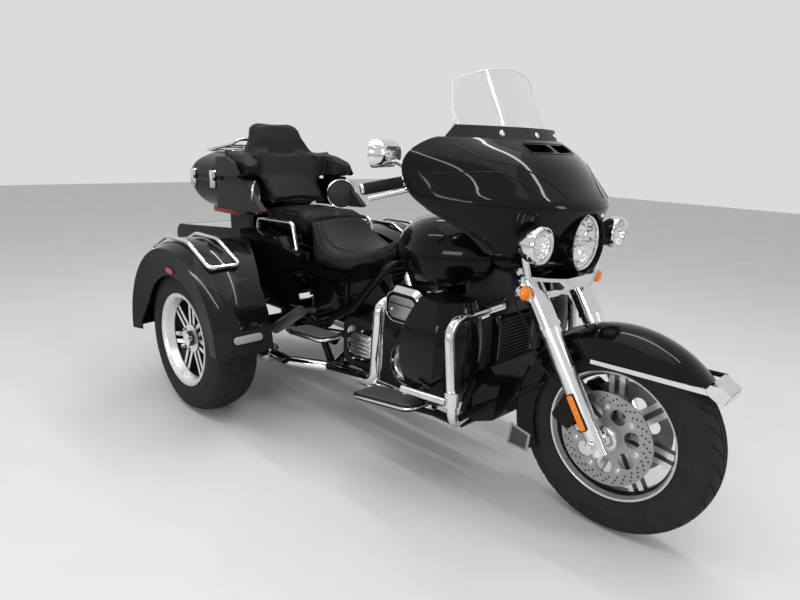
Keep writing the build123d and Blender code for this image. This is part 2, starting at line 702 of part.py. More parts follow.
with BuildPart() as frame:
    with BuildSketch(Plane(origin=(steer_x(HEAD_LOW_Z), 0, HEAD_LOW_Z), z_dir=steer_direction)):
        Circle(HEAD_TUBE_R)
    extrude(amount=(HEAD_TOP_Z - HEAD_LOW_Z) / cos(radians(RAKE)))
    head_middle = (HEAD_LOW_Z + HEAD_TOP_Z) / 2
    add(
        tube(
            [
                (steer_x(head_middle) - 6, 0, head_middle),
                (rear(1000), 0, 800),
                (rear(640), 0, 670),
                (rear(300), 0, SEAT_RAIL_Z),
            ],
            120,
            BACKBONE_R,
        )
    )
    for side in (1, -1):
        add(
            tube(
                [
                    (steer_x(HEAD_LOW_Z + 60) - 10, side * 10, HEAD_LOW_Z + 60),
                    (rear(1280), side * 18, 760),
                    (rear(1212), side * 112, 560),
                    (rear(1165), side * RAIL_Y, RAIL_Z),
                    (rear(430), side * RAIL_Y, RAIL_Z),
                    (rear(330), side * REAR_RAIL_Y, REAR_RAIL_Z),
                    (rear(-600), side * REAR_RAIL_Y, REAR_RAIL_Z),
                ],
                55,
                RAIL_R,
            )
        )
        add(
            tube(
                [
                    (rear(640), 0, 668),
                    (rear(520), side * UPPER_RAIL_Y, SEAT_RAIL_Z),
                    (rear(60), side * UPPER_RAIL_Y, SEAT_RAIL_Z),
                    (rear(40), side * REAR_RAIL_Y, REAR_RAIL_Z),
                ],
                40,
                RAIL_R - 2,
            )
        )
        add(
            tube(
                [
                    (rear(815), 0, 731),
                    (rear(762), side * 146, 722),
                    (rear(560), side * 164, 502),
                    (rear(345), side * 173, 396),
                ],
                [50, 90],
                RAIL_R,
            )
        )
    for x, half, z in (
        (rear(1165), RAIL_Y, RAIL_Z),
        (rear(430), RAIL_Y, RAIL_Z),
        (rear(300), UPPER_RAIL_Y, SEAT_RAIL_Z),
        (rear(180), REAR_RAIL_Y, REAR_RAIL_Z),
        (rear(-520), REAR_RAIL_Y, REAR_RAIL_Z),
    ):
        add(tube([(x, -half, z), (x, half, z)], 1, RAIL_R - 4))
    add(fork_clamps.part, mode=Mode.SUBTRACT)
    with BuildSketch(Plane(origin=(steer_x(HEAD_LOW_Z - 20), 0, HEAD_LOW_Z - 20), z_dir=steer_direction)):
        Circle(STEM_R + 0.05)
    extrude(amount=260, mode=Mode.SUBTRACT)

# Engine: crankcase and gearbox, two finned cylinders at 45 degrees, and the covers
CRANK_X = rear(870)
CRANK_Z = 345
BELT_Y = 102
CASE_HALF = 100
CYLINDER_TILT = 22.5
BARREL_START = 118
HEAD_END = 288
ROCKER_END = 352
CORE_HALF = 46
FIN_HALF = 66
FIN_COUNT = 9
FIN_THICK = 4

with BuildPart() as crankcase:
    with BuildSketch(side_plane(0, CASE_HALF, 0)):
        with Locations((CRANK_X, CRANK_Z)):
            Circle(128)
        with Locations((rear(600), 335)):
            RectangleRounded(330, 220, 50)
        with Locations((rear(760), 250)):
            RectangleRounded(400, 80, 30)
    extrude(amount=2 * CASE_HALF)
    with BuildSketch(side_plane(rear(412), BELT_Y + 28, 330)):
        Circle(36 - FIT)
    extrude(amount=60)

with BuildPart() as cylinders:
    for lean in (-CYLINDER_TILT, CYLINDER_TILT):
        direction = Vector(sin(radians(lean)), 0, cos(radians(lean)))
        crank = Vector(CRANK_X, 0, CRANK_Z)
        across = Vector(cos(radians(lean)), 0, -sin(radians(lean)))
        with BuildSketch(Plane(origin=crank + direction * BARREL_START, x_dir=across, z_dir=direction)):
            Rectangle(2 * CORE_HALF, 2 * CORE_HALF)
        extrude(amount=HEAD_END - BARREL_START)
        pitch = (HEAD_END - FIN_THICK - BARREL_START - 12) / (FIN_COUNT - 1)
        for index in range(FIN_COUNT):
            along = BARREL_START + 12 + index * pitch
            with BuildSketch(Plane(origin=crank + direction * along, x_dir=across, z_dir=direction)):
                fin = Rectangle(2 * FIN_HALF, 2 * FIN_HALF + 14)
                chamfer(fin.vertices(), 22)
            extrude(amount=FIN_THICK)
    add(crankcase.part, mode=Mode.SUBTRACT)

with BuildPart() as rocker_boxes:
    for lean in (-CYLINDER_TILT, CYLINDER_TILT):
        direction = Vector(sin(radians(lean)), 0, cos(radians(lean)))
        across = Vector(cos(radians(lean)), 0, -sin(radians(lean)))
        crank = Vector(CRANK_X, 0, CRANK_Z)
        with BuildSketch(Plane(origin=crank + direction * HEAD_END, x_dir=across, z_dir=direction)):
            RectangleRounded(2 * FIN_HALF - 8, 2 * FIN_HALF + 18, 24)
        extrude(amount=ROCKER_END - HEAD_END - 12)
        with BuildSketch(Plane(origin=crank + direction * (ROCKER_END - 12), x_dir=across, z_dir=direction)):
            RectangleRounded(2 * FIN_HALF - 8, 2 * FIN_HALF + 18, 24)
        extrude(amount=12, taper=40)
    add(cylinders.part, mode=Mode.SUBTRACT)

COVER_OUT = 46
with BuildPart() as engine_covers:
    with BuildSketch(side_plane(0, -CASE_HALF, 0)):
        with Locations((CRANK_X - 4, CRANK_Z)):
            Circle(92)
    extrude(amount=COVER_OUT)
    fillet(engine_covers.faces().sort_by(Axis.Y)[0].edges(), 14)
    with BuildSketch(side_plane(0, -CASE_HALF, 0)):
        with Locations((rear(600), 352)):
            RectangleRounded(190, 150, 45)
    extrude(amount=COVER_OUT - 8)
    with BuildSketch(side_plane(0, CASE_HALF + COVER_OUT + 30, 0)):
        with Locations((CRANK_X, CRANK_Z)):
            Circle(118)
        with Locations((rear(560), CRANK_Z - 4)):
            Circle(96)
        with Locations(((CRANK_X + rear(560)) / 2, CRANK_Z)):
            Rectangle(CRANK_X - rear(560), 196)
    extrude(amount=COVER_OUT + 30)
    for lean, shift in zip((-CYLINDER_TILT, -CYLINDER_TILT, CYLINDER_TILT, CYLINDER_TILT), (-22, 10, -10, 22)):
        direction = Vector(sin(radians(lean)), 0, cos(radians(lean)))
        foot = Vector(CRANK_X + shift, -CASE_HALF - 14, CRANK_Z + 78)
        add(tube([foot, foot + direction * 190], 1, 9))
    add(crankcase.part, mode=Mode.SUBTRACT)
    add(cylinders.part, mode=Mode.SUBTRACT)
    add(rocker_boxes.part, mode=Mode.SUBTRACT)

# Air cleaner on the right, between the cylinders
AIR_X = rear(905)
AIR_Z = 592
with BuildPart() as air_cleaner:
    with BuildSketch(side_plane(AIR_X, -FIN_HALF - 16, AIR_Z)):
        RectangleRounded(110, 96, 30)
    extrude(amount=74)
    with BuildSketch(side_plane(AIR_X, -FIN_HALF - 90, AIR_Z)):
        RectangleRounded(205, 150, 62)
    extrude(amount=34)
    with BuildSketch(side_plane(AIR_X, -FIN_HALF - 124, AIR_Z)):
        RectangleRounded(205, 150, 62)
    extrude(amount=22, taper=38)
    for cut in (cylinders, rocker_boxes, engine_covers):
        add(cut.part, mode=Mode.SUBTRACT)

# Exhaust: a pipe from each head down the right side, a crossover and two mufflers
PIPE_R = 25
PIPE_Y = 205
PIPE_Z = 235
MUFFLER_Y = 300
MUFFLER_R = 46
with BuildPart() as exhaust_pipes:
    add(
        tube(
            [
                (rear(790), -FIN_HALF - 4, 590),
                (rear(775), -PIPE_Y, 585),
                (rear(762), -PIPE_Y, PIPE_Z + 24),
                (rear(470), -PIPE_Y, PIPE_Z),
                (rear(300), -MUFFLER_Y, PIPE_Z),
                (rear(180), -MUFFLER_Y, PIPE_Z),
            ],
            52,
            PIPE_R,
        )
    )
    add(
        tube(
            [
                (rear(1040), -FIN_HALF - 4, 560),
                (rear(1085), -PIPE_Y + 35, 540),
                (rear(1065), -PIPE_Y + 10, PIPE_Z + 6),
                (rear(740), -PIPE_Y, PIPE_Z + 2),
            ],
            48,
            PIPE_R - 2,
        )
    )
    add(
        tube(
            [
                (rear(500), -PIPE_Y, PIPE_Z + 2),
                (rear(390), -60, PIPE_Z - 8),
                (rear(330), 240, PIPE_Z - 8),
                (rear(270), MUFFLER_Y, PIPE_Z),
                (rear(180), MUFFLER_Y, PIPE_Z),
            ],
            45,
            PIPE_R - 3,
        )
    )
    for cut in (cylinders, crankcase, engine_covers, air_cleaner, frame):
        add(cut.part, mode=Mode.SUBTRACT)

with BuildPart() as mufflers:
    with BuildSketch(wheel_plane(rear(180), -MUFFLER_Y, PIPE_Z)):
        Circle(MUFFLER_R)
    extrude(amount=-740)
    chamfer(mufflers.faces().sort_by(Axis.X)[-1].edges(), 20)
    with BuildSketch(wheel_plane(rear(-560), -MUFFLER_Y, PIPE_Z)):
        Circle(MUFFLER_R - 8)
    extrude(amount=60, mode=Mode.SUBTRACT)
    mirror(about=Plane.XZ)

# Lower fairings in front of the rider's legs, and the engine guard through them
GUARD_R = 16
GUARD_Y = 365
GUARD_TOP = Vector(rear(1262), GUARD_Y, 650)
GUARD_LOW = Vector(rear(1300), GUARD_Y, 320)

with BuildPart() as engine_guard:
    for side in (1, -1):
        add(
            tube(
                [
                    (rear(1262), side * 92, 660),
                    (GUARD_TOP.X, side * GUARD_TOP.Y, GUARD_TOP.Z),
                    (GUARD_LOW.X, side * GUARD_LOW.Y, GUARD_LOW.Z),
                    (rear(1195), side * (RAIL_Y - 14), 262),
                ],
                60,
                GUARD_R,
            )
        )
    add(frame.part, mode=Mode.SUBTRACT)

# z, front x, back x, inner y, outer y
LOWER_LEVELS = [
    (345, 1240, 1085, 215, 352),
    (545, 1290, 1050, 205, 388),
    (698, 1262, 1105, 212, 352),
]
with BuildPart() as lower_fairings:
    for z, front, back, near, far in LOWER_LEVELS:
        with BuildSketch(Plane.XY.offset(z)):
            with BuildLine():
                Line((rear(back), -near), (rear(front) - 12, -near))
                ThreePointArc(
                    (rear(front) - 12, -near),
                    (rear(front) - 6, -(near + far) / 2 - 14),
                    (rear(front) - 62, -far),
                )
                Line((rear(front) - 62, -far), (rear(back) + 10, -far + 14))
                Line((rear(back) + 10, -far + 14), (rear(back), -near))
            make_face()
    loft()
    guard_leg = (GUARD_TOP + Vector(-18, 0, 160), GUARD_LOW + Vector(8, 0, -90))
    add(tube([(p.X, -p.Y, p.Z) for p in guard_leg], 1, GUARD_R + 3), mode=Mode.SUBTRACT)
    add(engine_guard.part, mode=Mode.SUBTRACT)
    mirror(about=Plane.XZ)

with BuildPart() as highway_pegs:
    for side in (1, -1):
        clamp_point = GUARD_TOP + (GUARD_LOW - GUARD_TOP) * 0.74
        centre = Vector(clamp_point.X, side * clamp_point.Y, clamp_point.Z)
        with BuildSketch(Plane(origin=centre + Vector(0, 0, -24), z_dir=(0, 0, 1))):
            Circle(GUARD_R + 9)
        extrude(amount=48)
        add(tube([centre + Vector(6, side * 30, 0), centre + Vector(-176, side * 42, -10)], 1, 13))
    add(engine_guard.part, mode=Mode.SUBTRACT)

with BuildPart() as chin_cover:
    with BuildSketch(side_plane(0, 138, 0)):
        with BuildLine():
            Polyline(
                (rear(1200), 225),
                (rear(1290), 260),
                (rear(1312), 395),
                (rear(1268), 452),
                (rear(1232), 452),
                (rear(1180), 330),
                close=True,
            )
        make_face()
    extrude(amount=276)
    add(frame.part, mode=Mode.SUBTRACT)
    add(engine_guard.part, mode=Mode.SUBTRACT)

# Fuel tank, astride the backbone, with the console along its top
# x ahead of the rear axle, half width, top z, bottom z
TANK_SECTIONS = [
    (735, 75, 868, 752),
    (850, 168, 918, 706),
    (1000, 205, 942, 690),
    (1130, 160, 922, 716),
    (1200, 92, 880, 762),
]
TANK_TUNNEL = BACKBONE_R + 6
with BuildPart() as fuel_tank:
    for x, half, top, low in TANK_SECTIONS:
        with BuildSketch(Plane.YZ.offset(rear(x))):
            with BuildLine():
                edge = 0.55 * half
                Line((-0.8 * half, low), (0.8 * half, low))
                ThreePointArc((0.8 * half, low), (half, low + 0.45 * (top - low)), (edge, top - 14))
                ThreePointArc((edge, top - 14), (0, top), (-edge, top - 14))
                ThreePointArc((-edge, top - 14), (-half, low + 0.45 * (top - low)), (-0.8 * half, low))
            make_face()
    loft()
    with BuildSketch(side_plane(0, TANK_TUNNEL, 0)):
        with BuildLine():
            Polyline(
                (rear(600), 500),
                (rear(600), 700),
                (rear(760), 758),
                (rear(1000), 836),
                (rear(1300), 925),
                (rear(1300), 500),
                close=True,
            )
        make_face()
    extrude(amount=2 * TANK_TUNNEL, mode=Mode.SUBTRACT)
    add(frame.part, mode=Mode.SUBTRACT)

with BuildPart() as tank_console:
    with BuildSketch(side_plane(0, 46, 0)):
        with BuildLine():
            Polyline(
                (rear(762), 870),
                (rear(800), 905),
                (rear(1000), 962),
                (rear(1120), 958),
                (rear(1195), 915),
                close=True,
            )
        make_face()
    extrude(amount=92)
    add(fuel_tank.part, mode=Mode.SUBTRACT)
    with BuildSketch(side_plane(0, TANK_TUNNEL + 20, 0)):
        with BuildLine():
            Polyline((rear(740), 700), (rear(1300), 700), (rear(1300), 900), (rear(740), 860), close=True)
        make_face()
    extrude(amount=2 * TANK_TUNNEL + 40, mode=Mode.SUBTRACT)

# Seats: side outlines cut to their plan
with BuildPart() as rider_seat:
    with BuildSketch(side_plane(0, 230, 0)):
        with BuildLine():
            Polyline(
                (rear(285), 868),
                (rear(262), 866),
                (rear(286), 655),
                (rear(560), 655),
                (rear(690), 720),
                (rear(732), 770),
                (rear(730), 846),
            )
            ThreePointArc((rear(730), 846), (rear(510), 738), (rear(285), 868))
        make_face()
    extrude(amount=460)
    with BuildSketch(Plane.XY.offset(600)):
        with BuildLine():
            ThreePointArc((rear(262), -150), (rear(420), -216), (rear(590), -165))
            Line((rear(590), -165), (rear(735), -78))
            Line((rear(735), -78), (rear(735), 78))
            Line((rear(735), 78), (rear(590), 165))
            ThreePointArc((rear(590), 165), (rear(420), 216), (rear(262), 150))
            Line((rear(262), 150), (rear(262), -150))
        make_face()
    extrude(amount=400, mode=Mode.INTERSECT)
    add(frame.part, mode=Mode.SUBTRACT)

# Side covers: the body narrows from the trunk to the seat
BODY_HALF = 345
COVER_TOP = 786
with BuildPart() as side_covers:
    with BuildSketch(Plane.XY.offset(440)):
        with BuildLine():
            Polyline(
                (rear(FIT), -BODY_HALF),
                (rear(90), -BODY_HALF + 18),
                (rear(290), -232),
                (rear(290), -RAIL_Y - 46),
                (rear(FIT), -RAIL_Y - 60),
                close=True,
            )
        make_face()
    extrude(amount=COVER_TOP - 440)
    with BuildSketch(side_plane(0, 0, 0)):
        with BuildLine():
            Polyline(
                (rear(0), 452),
                (rear(0), COVER_TOP),
                (rear(170), 765),
                (rear(290), 704),
                (rear(290), 640),
                (rear(222), 622),
                (rear(245), 470),
                close=True,
            )
        make_face()
    extrude(amount=500, mode=Mode.INTERSECT)
    with BuildSketch(side_plane(0, -RAIL_Y - 10, 0)):
        with BuildLine():
            Polyline(
                (rear(280), 650),
                (rear(341), 622),
                (rear(578), 619),
                (rear(706), 664),
                (rear(690), 722),
                (rear(560), 658),
                (rear(280), 658),
                close=True,
            )
        make_face()
    extrude(amount=38)
    panel_normal = Vector(95, -200, 0).normalized()
    panel_plane = Plane(origin=(rear(190), -279.5, 720), x_dir=(200, 95, 0), z_dir=panel_normal)
    with BuildSketch(panel_plane):
        with BuildLine():
            Polyline((-112, 12), (-58, 34), (2, 18), (58, -14), (28, -46), (-25, -52), (-90, -43), close=True)
        make_face()
    extrude(amount=-4, mode=Mode.SUBTRACT)
    add(rider_seat.part, mode=Mode.SUBTRACT)
    add(frame.part, mode=Mode.SUBTRACT)
    mirror(about=Plane.XZ)
    with BuildSketch(Plane.XY.offset(452)):
        with Locations((rear(372), 0)):
            RectangleRounded(250, 276, 18)
    extrude(amount=158)
    add(frame.part, mode=Mode.SUBTRACT)

# Trunk: a hollow body between the fenders, open at the rear behind its door
TRUNK_FLOOR = 440
TRUNK_WALL = 8
TRUNK_REAR = -640
DOOR_HALF = 262
DOOR_LOW = 432
DOOR_TOP = 706
DOOR_THICK = 18
with BuildPart() as trunk_body:
    with BuildSketch(side_plane(0, BODY_HALF, 0)):
        with BuildLine():
            Line((rear(0), TRUNK_FLOOR), (rear(0), COVER_TOP))
            Line((rear(0), COVER_TOP), (rear(-570), 742))
            ThreePointArc((rear(-570), 742), (rear(-622), 726), (rear(TRUNK_REAR), 690))
            Line((rear(TRUNK_REAR), 690), (rear(TRUNK_REAR), 385))
            Line((rear(TRUNK_REAR), 385), (rear(-560), 385))
            Line((rear(-560), 385), (rear(-470), TRUNK_FLOOR))
            Line((rear(-470), TRUNK_FLOOR), (rear(0), TRUNK_FLOOR))
        make_face()
    extrude(amount=2 * BODY_HALF)
    with BuildSketch(wheel_plane(rear(TRUNK_REAR - 1), 0, 0)):
        with Locations((0, (TRUNK_FLOOR + TRUNK_WALL + 700) / 2)):
            RectangleRounded(2 * DOOR_HALF - 30, 700 - TRUNK_FLOOR - TRUNK_WALL, 20)
    extrude(amount=-TRUNK_REAR - TRUNK_WALL, mode=Mode.SUBTRACT)
    add(frame.part, mode=Mode.SUBTRACT)

with BuildPart() as passenger_seat:
    with BuildSketch(side_plane(0, 178, 0)):
        with BuildLine():
            Polyline(
                (rear(-95), 765),
                (rear(262), 765),
                (rear(256), 858),
                (rear(200), 872),
                (rear(-95), 872),
                close=True,
            )
        make_face()
    extrude(amount=356)
    fillet(passenger_seat.edges().filter_by(Axis.Z), 40)
    add(side_covers.part, mode=Mode.SUBTRACT)
    add(trunk_body.part, mode=Mode.SUBTRACT)
    add(rider_seat.part, mode=Mode.SUBTRACT)

with BuildPart() as trunk_door:
    with BuildSketch(wheel_plane(rear(TRUNK_REAR) - 0.8 - DOOR_THICK, 0, 0)):
        with Locations((0, (DOOR_LOW + DOOR_TOP) / 2)):
            RectangleRounded(2 * DOOR_HALF, DOOR_TOP - DOOR_LOW, 28)
    extrude(amount=DOOR_THICK)

# Rear fenders: an arch round each wheel from a flat outer ring to the deck beside the trunk
RING_OUT = WIDTH / 2
ARCH_R = 284
RING_R = 400
CROWN_R = 438
DECK_R = 424
FENDER_FRONT_ANGLE = 5
FENDER_REAR_ANGLE = 184
SHELL = 5
with BuildPart() as rear_fenders:
    low = radians(FENDER_FRONT_ANGLE)
    ring_plane = Plane(origin=(REAR_X, 0, REAR_TYRE_R), x_dir=(0, 1, 0), z_dir=(sin(low), 0, -cos(low)))
    with BuildSketch(ring_plane):
        with BuildLine():
            Line((-RING_OUT + 24, ARCH_R), (-RING_OUT, RING_R))
            ThreePointArc((-RING_OUT, RING_R), (-RING_OUT + 62, CROWN_R - 8), (-RING_OUT + 145, CROWN_R))
            Line((-RING_OUT + 145, CROWN_R), (-BODY_HALF - FIT, DECK_R))
            Line((-BODY_HALF - FIT, DECK_R), (-BODY_HALF - FIT, DECK_R - SHELL))
            Line((-BODY_HALF - FIT, DECK_R - SHELL), (-RING_OUT + 145, CROWN_R - SHELL))
            ThreePointArc(
                (-RING_OUT + 145, CROWN_R - SHELL),
                (-RING_OUT + 65, CROWN_R - 8 - SHELL),
                (-RING_OUT + SHELL + 1, RING_R - 3),
            )
            Line((-RING_OUT + SHELL + 1, RING_R - 3), (-RING_OUT + 24 + SHELL, ARCH_R))
            Line((-RING_OUT + 24 + SHELL, ARCH_R), (-RING_OUT + 24, ARCH_R))
        make_face()
    revolve(
        axis=Axis((REAR_X, 0, REAR_TYRE_R), (0, -1, 0)),
        revolution_arc=FENDER_REAR_ANGLE - FENDER_FRONT_ANGLE,
    )
    with BuildSketch(Plane.XY.offset(300)):
        with BuildLine():
            Polyline(
                (rear(95), -300),
                (rear(95), -BODY_HALF - 16),
                (rear(330), -452),
                (rear(600), -470),
                (rear(600), -300),
                close=True,
            )
        make_face()
    extrude(amount=600, mode=Mode.SUBTRACT)
    with BuildSketch(side_plane(REAR_X, -RING_OUT + 45, REAR_TYRE_R)):
        with BuildLine():
            Polyline((-330, -90), (-330, 20), (-262, 120), (262, 120), (330, 20), (330, -90), close=True)
        make_face()
    extrude(amount=60, mode=Mode.SUBTRACT)
    mirror(about=Plane.XZ)

# Chrome rails: a hoop that follows each fender's crown, and a grab rail beside the passenger seat
RAIL_ARC_R = CROWN_R + 12
RAIL_OUT = 640
RAIL_IN = 508


def rail_point(angle, y, radius):
    """A point over the fender, at an angle forward of straight up from the wheel's centre."""
    turn = radians(angle)
    return Vector(REAR_X + radius * sin(turn), y, REAR_TYRE_R + radius * cos(turn))


with BuildPart() as body_rails:
    for side in (1, -1):
        hoop = [rail_point(-34, side * RAIL_OUT, DECK_R - 8)]
        hoop += [rail_point(angle, side * RAIL_OUT, RAIL_ARC_R) for angle in (-33, -12, 12, 37)]
        hoop += [rail_point(angle, side * RAIL_IN, RAIL_ARC_R) for angle in (37, 12, -12, -33)]
        hoop += [rail_point(-34, side * RAIL_IN, DECK_R - 8)]
        add(tube(hoop, [14, 90, 90, 26, 26, 90, 90, 14], 9))
        foot = rail_point(36, side * (RAIL_OUT + RAIL_IN) / 2, RAIL_ARC_R)
        add(tube([foot, rail_point(36, side * (RAIL_OUT + RAIL_IN) / 2, CROWN_R - 8)], 1, 8))
        add(
            tube(
                [
                    (rear(-50), side * 222, 776),
                    (rear(-42), side * 222, 822),
                    (rear(225), side * 222, 828),
                    (rear(262), side * 222, 700),
                ],
                24,
                9,
            )
        )
    for cut in (rear_fenders, side_covers, trunk_body, passenger_seat, rider_seat):
        add(cut.part, mode=Mode.SUBTRACT)

# Top case: base, lid, rack, latches
CASE_FRONT = -215
CASE_REAR = -602
CASE_HALF_W = 292
CASE_LOW = 842
CASE_SPLIT = 985
CASE_WALL = 5
CASE_MIDDLE = (CASE_FRONT + CASE_REAR) / 2
CASE_LENGTH = CASE_FRONT - CASE_REAR

HINGE_Y = 325
HINGE_Z = 1000
KNUCKLE_R = 8
KNUCKLE = 30
PIN_R = 4
# Depth below the split, shortening, half width, shift forward
BASE_LEVELS = [
    (0.4, 0, 292, 0),
    (55, 8, 288, 0),
    (112, 52, 264, 22),
    (143, 120, 226, 50),
]


def base_form(inset, lift):
    """The case base's closed form, drawn in by inset all round and raised by lift."""
    with BuildPart() as form:
        for depth, shorter, half, shift in BASE_LEVELS:
            with BuildSketch(Plane.XY.offset(CASE_SPLIT - depth + lift)):
                with Locations((rear(CASE_MIDDLE + shift), 0)):
                    RectangleRounded(CASE_LENGTH - shorter - 2 * inset, 2 * (half - inset), 70 - inset)
        loft()
    return form.part


with BuildPart() as top_case:
    add(base_form(0, 0))
    add(base_form(CASE_WALL, CASE_WALL), mode=Mode.SUBTRACT)
    with BuildSketch(Plane.XY.offset(CASE_LOW + 1)):
        with Locations((rear(CASE_MIDDLE + 20), 0)):
            RectangleRounded(CASE_LENGTH - 160, 240, 20)
    extrude(amount=-110)
    for x in (CASE_REAR + 90, CASE_FRONT - 150):
        with BuildSketch(wheel_plane(rear(x), HINGE_Y, HINGE_Z)):
            Circle(KNUCKLE_R)
            with Locations((-16, -24)):
                Rectangle(46, 9, rotation=48)
        extrude(amount=KNUCKLE)
        with BuildSketch(wheel_plane(rear(x), HINGE_Y, HINGE_Z)):
            Circle(PIN_R)
        extrude(amount=2 * KNUCKLE + 1)
    add(base_form(CASE_WALL, CASE_WALL), mode=Mode.SUBTRACT)
    add(trunk_body.part, mode=Mode.SUBTRACT)

# The lid's dome: height above the split, length, half width, shift forward
LID_LEVELS = [
    (0.4, 387, 292, 0),
    (38, 389, 291, 0),
    (70, 370, 276, 4),
    (100, 326, 242, 12),
    (122, 266, 200, 20),
    (136, 200, 150, 28),
    (143, 126, 90, 34),
]


def lid_form(inset, drop):
    """The lid's closed form, drawn in by inset all round and lowered by drop."""
    with BuildPart() as form:
        for height, length, half, shift in LID_LEVELS:
            with BuildSketch(Plane.XY.offset(CASE_SPLIT + height - drop)):
                with Locations((rear(CASE_MIDDLE + shift), 0)):
                    corner = min(70, 0.42 * length)
                    RectangleRounded(length - 2 * inset, 2 * (half - inset), corner - inset)
        loft()
    return form.part


EAR_Y = 323
EAR_THICK = 8
with BuildPart() as top_case_lid:
    for side in (1, -1):
        with BuildSketch(side_plane(0, side * (EAR_Y + EAR_THICK / 2) + EAR_THICK / 2, 0)):
            with BuildLine():
                Polyline(
                    (rear(CASE_FRONT - 15), 1006),
                    (rear(-40), 1010),
                    (rear(-24), 1020),
                    (rear(-62), 1070),
                    (rear(-140), 1094),
                    (rear(CASE_FRONT - 15), 1090),
                    close=True,
                )
            make_face()
        extrude(amount=EAR_THICK)
        with BuildSketch(Plane.XY.offset(1006)):
            with Locations((rear(CASE_FRONT - 12), side * (EAR_Y - 26))):
                Rectangle(10, 58)
        extrude(amount=76)
    add(lid_form(0, 0))
    add(lid_form(CASE_WALL, CASE_WALL), mode=Mode.SUBTRACT)

# Luggage rack on the lid, rising towards the backrest
RACK_REAR_Z = 1112
RACK_FRONT_Z = 1182
RACK_HALF = 186
with BuildPart() as luggage_rack:
    half_loop = [
        (CASE_REAR - 8, 30, RACK_REAR_Z),
        (CASE_REAR - 2, RACK_HALF, RACK_REAR_Z),
        (-342, RACK_HALF - 4, RACK_REAR_Z + 34),
        (-300, RACK_HALF - 20, RACK_FRONT_Z - 10),
    ]
    loop = [(rear(x), -y, z) for x, y, z in half_loop] + [(rear(x), y, z) for x, y, z in half_loop[::-1]]
    add(tube(loop, [44, 60, 34, 34, 60, 44], 7))
    add(tube([(rear(CASE_REAR - 8), -44, RACK_REAR_Z), (rear(CASE_REAR - 8), 44, RACK_REAR_Z)], 1, 9))
    middle_z = RACK_REAR_Z + 22
    middle_x = rear(-434)
    add(tube([(middle_x, -RACK_HALF + 4, middle_z), (middle_x, RACK_HALF - 4, middle_z)], 1, 6))
    for x, y, top in (
        (CASE_REAR + 60, 110, RACK_REAR_Z + 8),
        (-342, 110, RACK_REAR_Z + 32),
    ):
        add(tube([(rear(x), 6 - RACK_HALF, top), (rear(x), RACK_HALF - 6, top)], 1, 5))
        with BuildSketch(Plane.XY.offset(CASE_SPLIT + 60)):
            with Locations((rear(x), y), (rear(x), -y)):
                Circle(8)
        extrude(amount=top - CASE_SPLIT - 60)
    add(top_case_lid.part, mode=Mode.SUBTRACT)
    add(lid_form(CASE_WALL, CASE_WALL), mode=Mode.SUBTRACT)

with BuildPart() as lid_fittings:
    for x in (CASE_REAR + 78, CASE_FRONT - 110):
        with BuildSketch(side_plane(rear(x), -CASE_HALF_W + 4, CASE_SPLIT + 22)):
            RectangleRounded(52, 34, 8)
        extrude(amount=14)
    for x in (CASE_REAR + 90, CASE_FRONT - 150):
        with BuildSketch(wheel_plane(rear(x) + KNUCKLE + 1, HINGE_Y, HINGE_Z)):
            Circle(KNUCKLE_R)
            with Locations((-17, 10)):
                Rectangle(44, 9, rotation=-28)
            Circle(PIN_R + 0.05, mode=Mode.SUBTRACT)
        extrude(amount=KNUCKLE)
    add(lid_form(CASE_WALL, CASE_WALL), mode=Mode.SUBTRACT)
    add(top_case_lid.part, mode=Mode.SUBTRACT)

# Backrest that wraps round into two wings, carried by the lid, and the speaker pods under them
WING_LOW = 1004
with BuildPart() as backrest:
    with BuildSketch(side_plane(0, 230, 0)):
        with BuildLine():
            Polyline(
                (rear(-112), 884),
                (rear(-10), 884),
                (rear(-113), 1012),
                (rear(-171), 1124),
                (rear(-237), 1260),
                (rear(-260), 1272),
                (rear(-292), 1260),
                (rear(-240), 1136),
                (rear(-222), 1110),
                (rear(-222), 992),
                (rear(-208), 984),
                (rear(-205), 960),
                close=True,
            )
        make_face()
    extrude(amount=460)
    with BuildSketch(wheel_plane(rear(-350), 0, 0)):
        with BuildLine():
            Line((-168, 880), (-186, 1000))
            Line((-186, 1000), (-226, WING_LOW))
            Line((-226, WING_LOW), (-232, 1112))
            ThreePointArc((-232, 1112), (-184, 1160), (-160, 1206))
            ThreePointArc((-160, 1206), (-126, 1254), (-75, 1272))
            Line((-75, 1272), (75, 1272))
            ThreePointArc((75, 1272), (126, 1254), (160, 1206))
            ThreePointArc((160, 1206), (184, 1160), (232, 1112))
            Line((232, 1112), (226, WING_LOW))
            Line((226, WING_LOW), (186, 1000))
            Line((186, 1000), (168, 880))
            Line((168, 880), (-168, 880))
        make_face()
    extrude(amount=500, mode=Mode.INTERSECT)
    for side in (1, -1):
        with BuildSketch(Plane.XY.offset(WING_LOW)):
            with BuildLine():
                Polyline(
                    (rear(-214), side * 150),
                    (rear(-214), side * 318),
                    (rear(-50), side * 322),
                    (rear(10), side * 310),
                    (rear(16), side * 262),
                    (rear(-30), side * 214),
                    (rear(-90), side * 190),
                    (rear(-130), side * 150),
                    close=True,
                )
            make_face()
        extrude(amount=130)
    with BuildSketch(side_plane(0, 400, 0)):
        with BuildLine():
            Polyline(
                (rear(-180), 1122),
                (rear(-110), 1108),
                (rear(-20), 1090),
                (rear(30), 1060),
                (rear(60), 1060),
                (rear(60), 1200),
                (rear(-100), 1200),
                (rear(-205), 1200),
                close=True,
            )
        make_face()
    extrude(amount=800, mode=Mode.SUBTRACT)
    with BuildSketch(side_plane(0, 400, 0)):
        with BuildLine():
            Polyline((rear(-40), 1000), (rear(60), 1040), (rear(60), 1000), close=True)
        make_face()
    extrude(amount=800, mode=Mode.SUBTRACT)
    add(top_case_lid.part, mode=Mode.SUBTRACT)
    add(lid_form(CASE_WALL, CASE_WALL), mode=Mode.SUBTRACT)

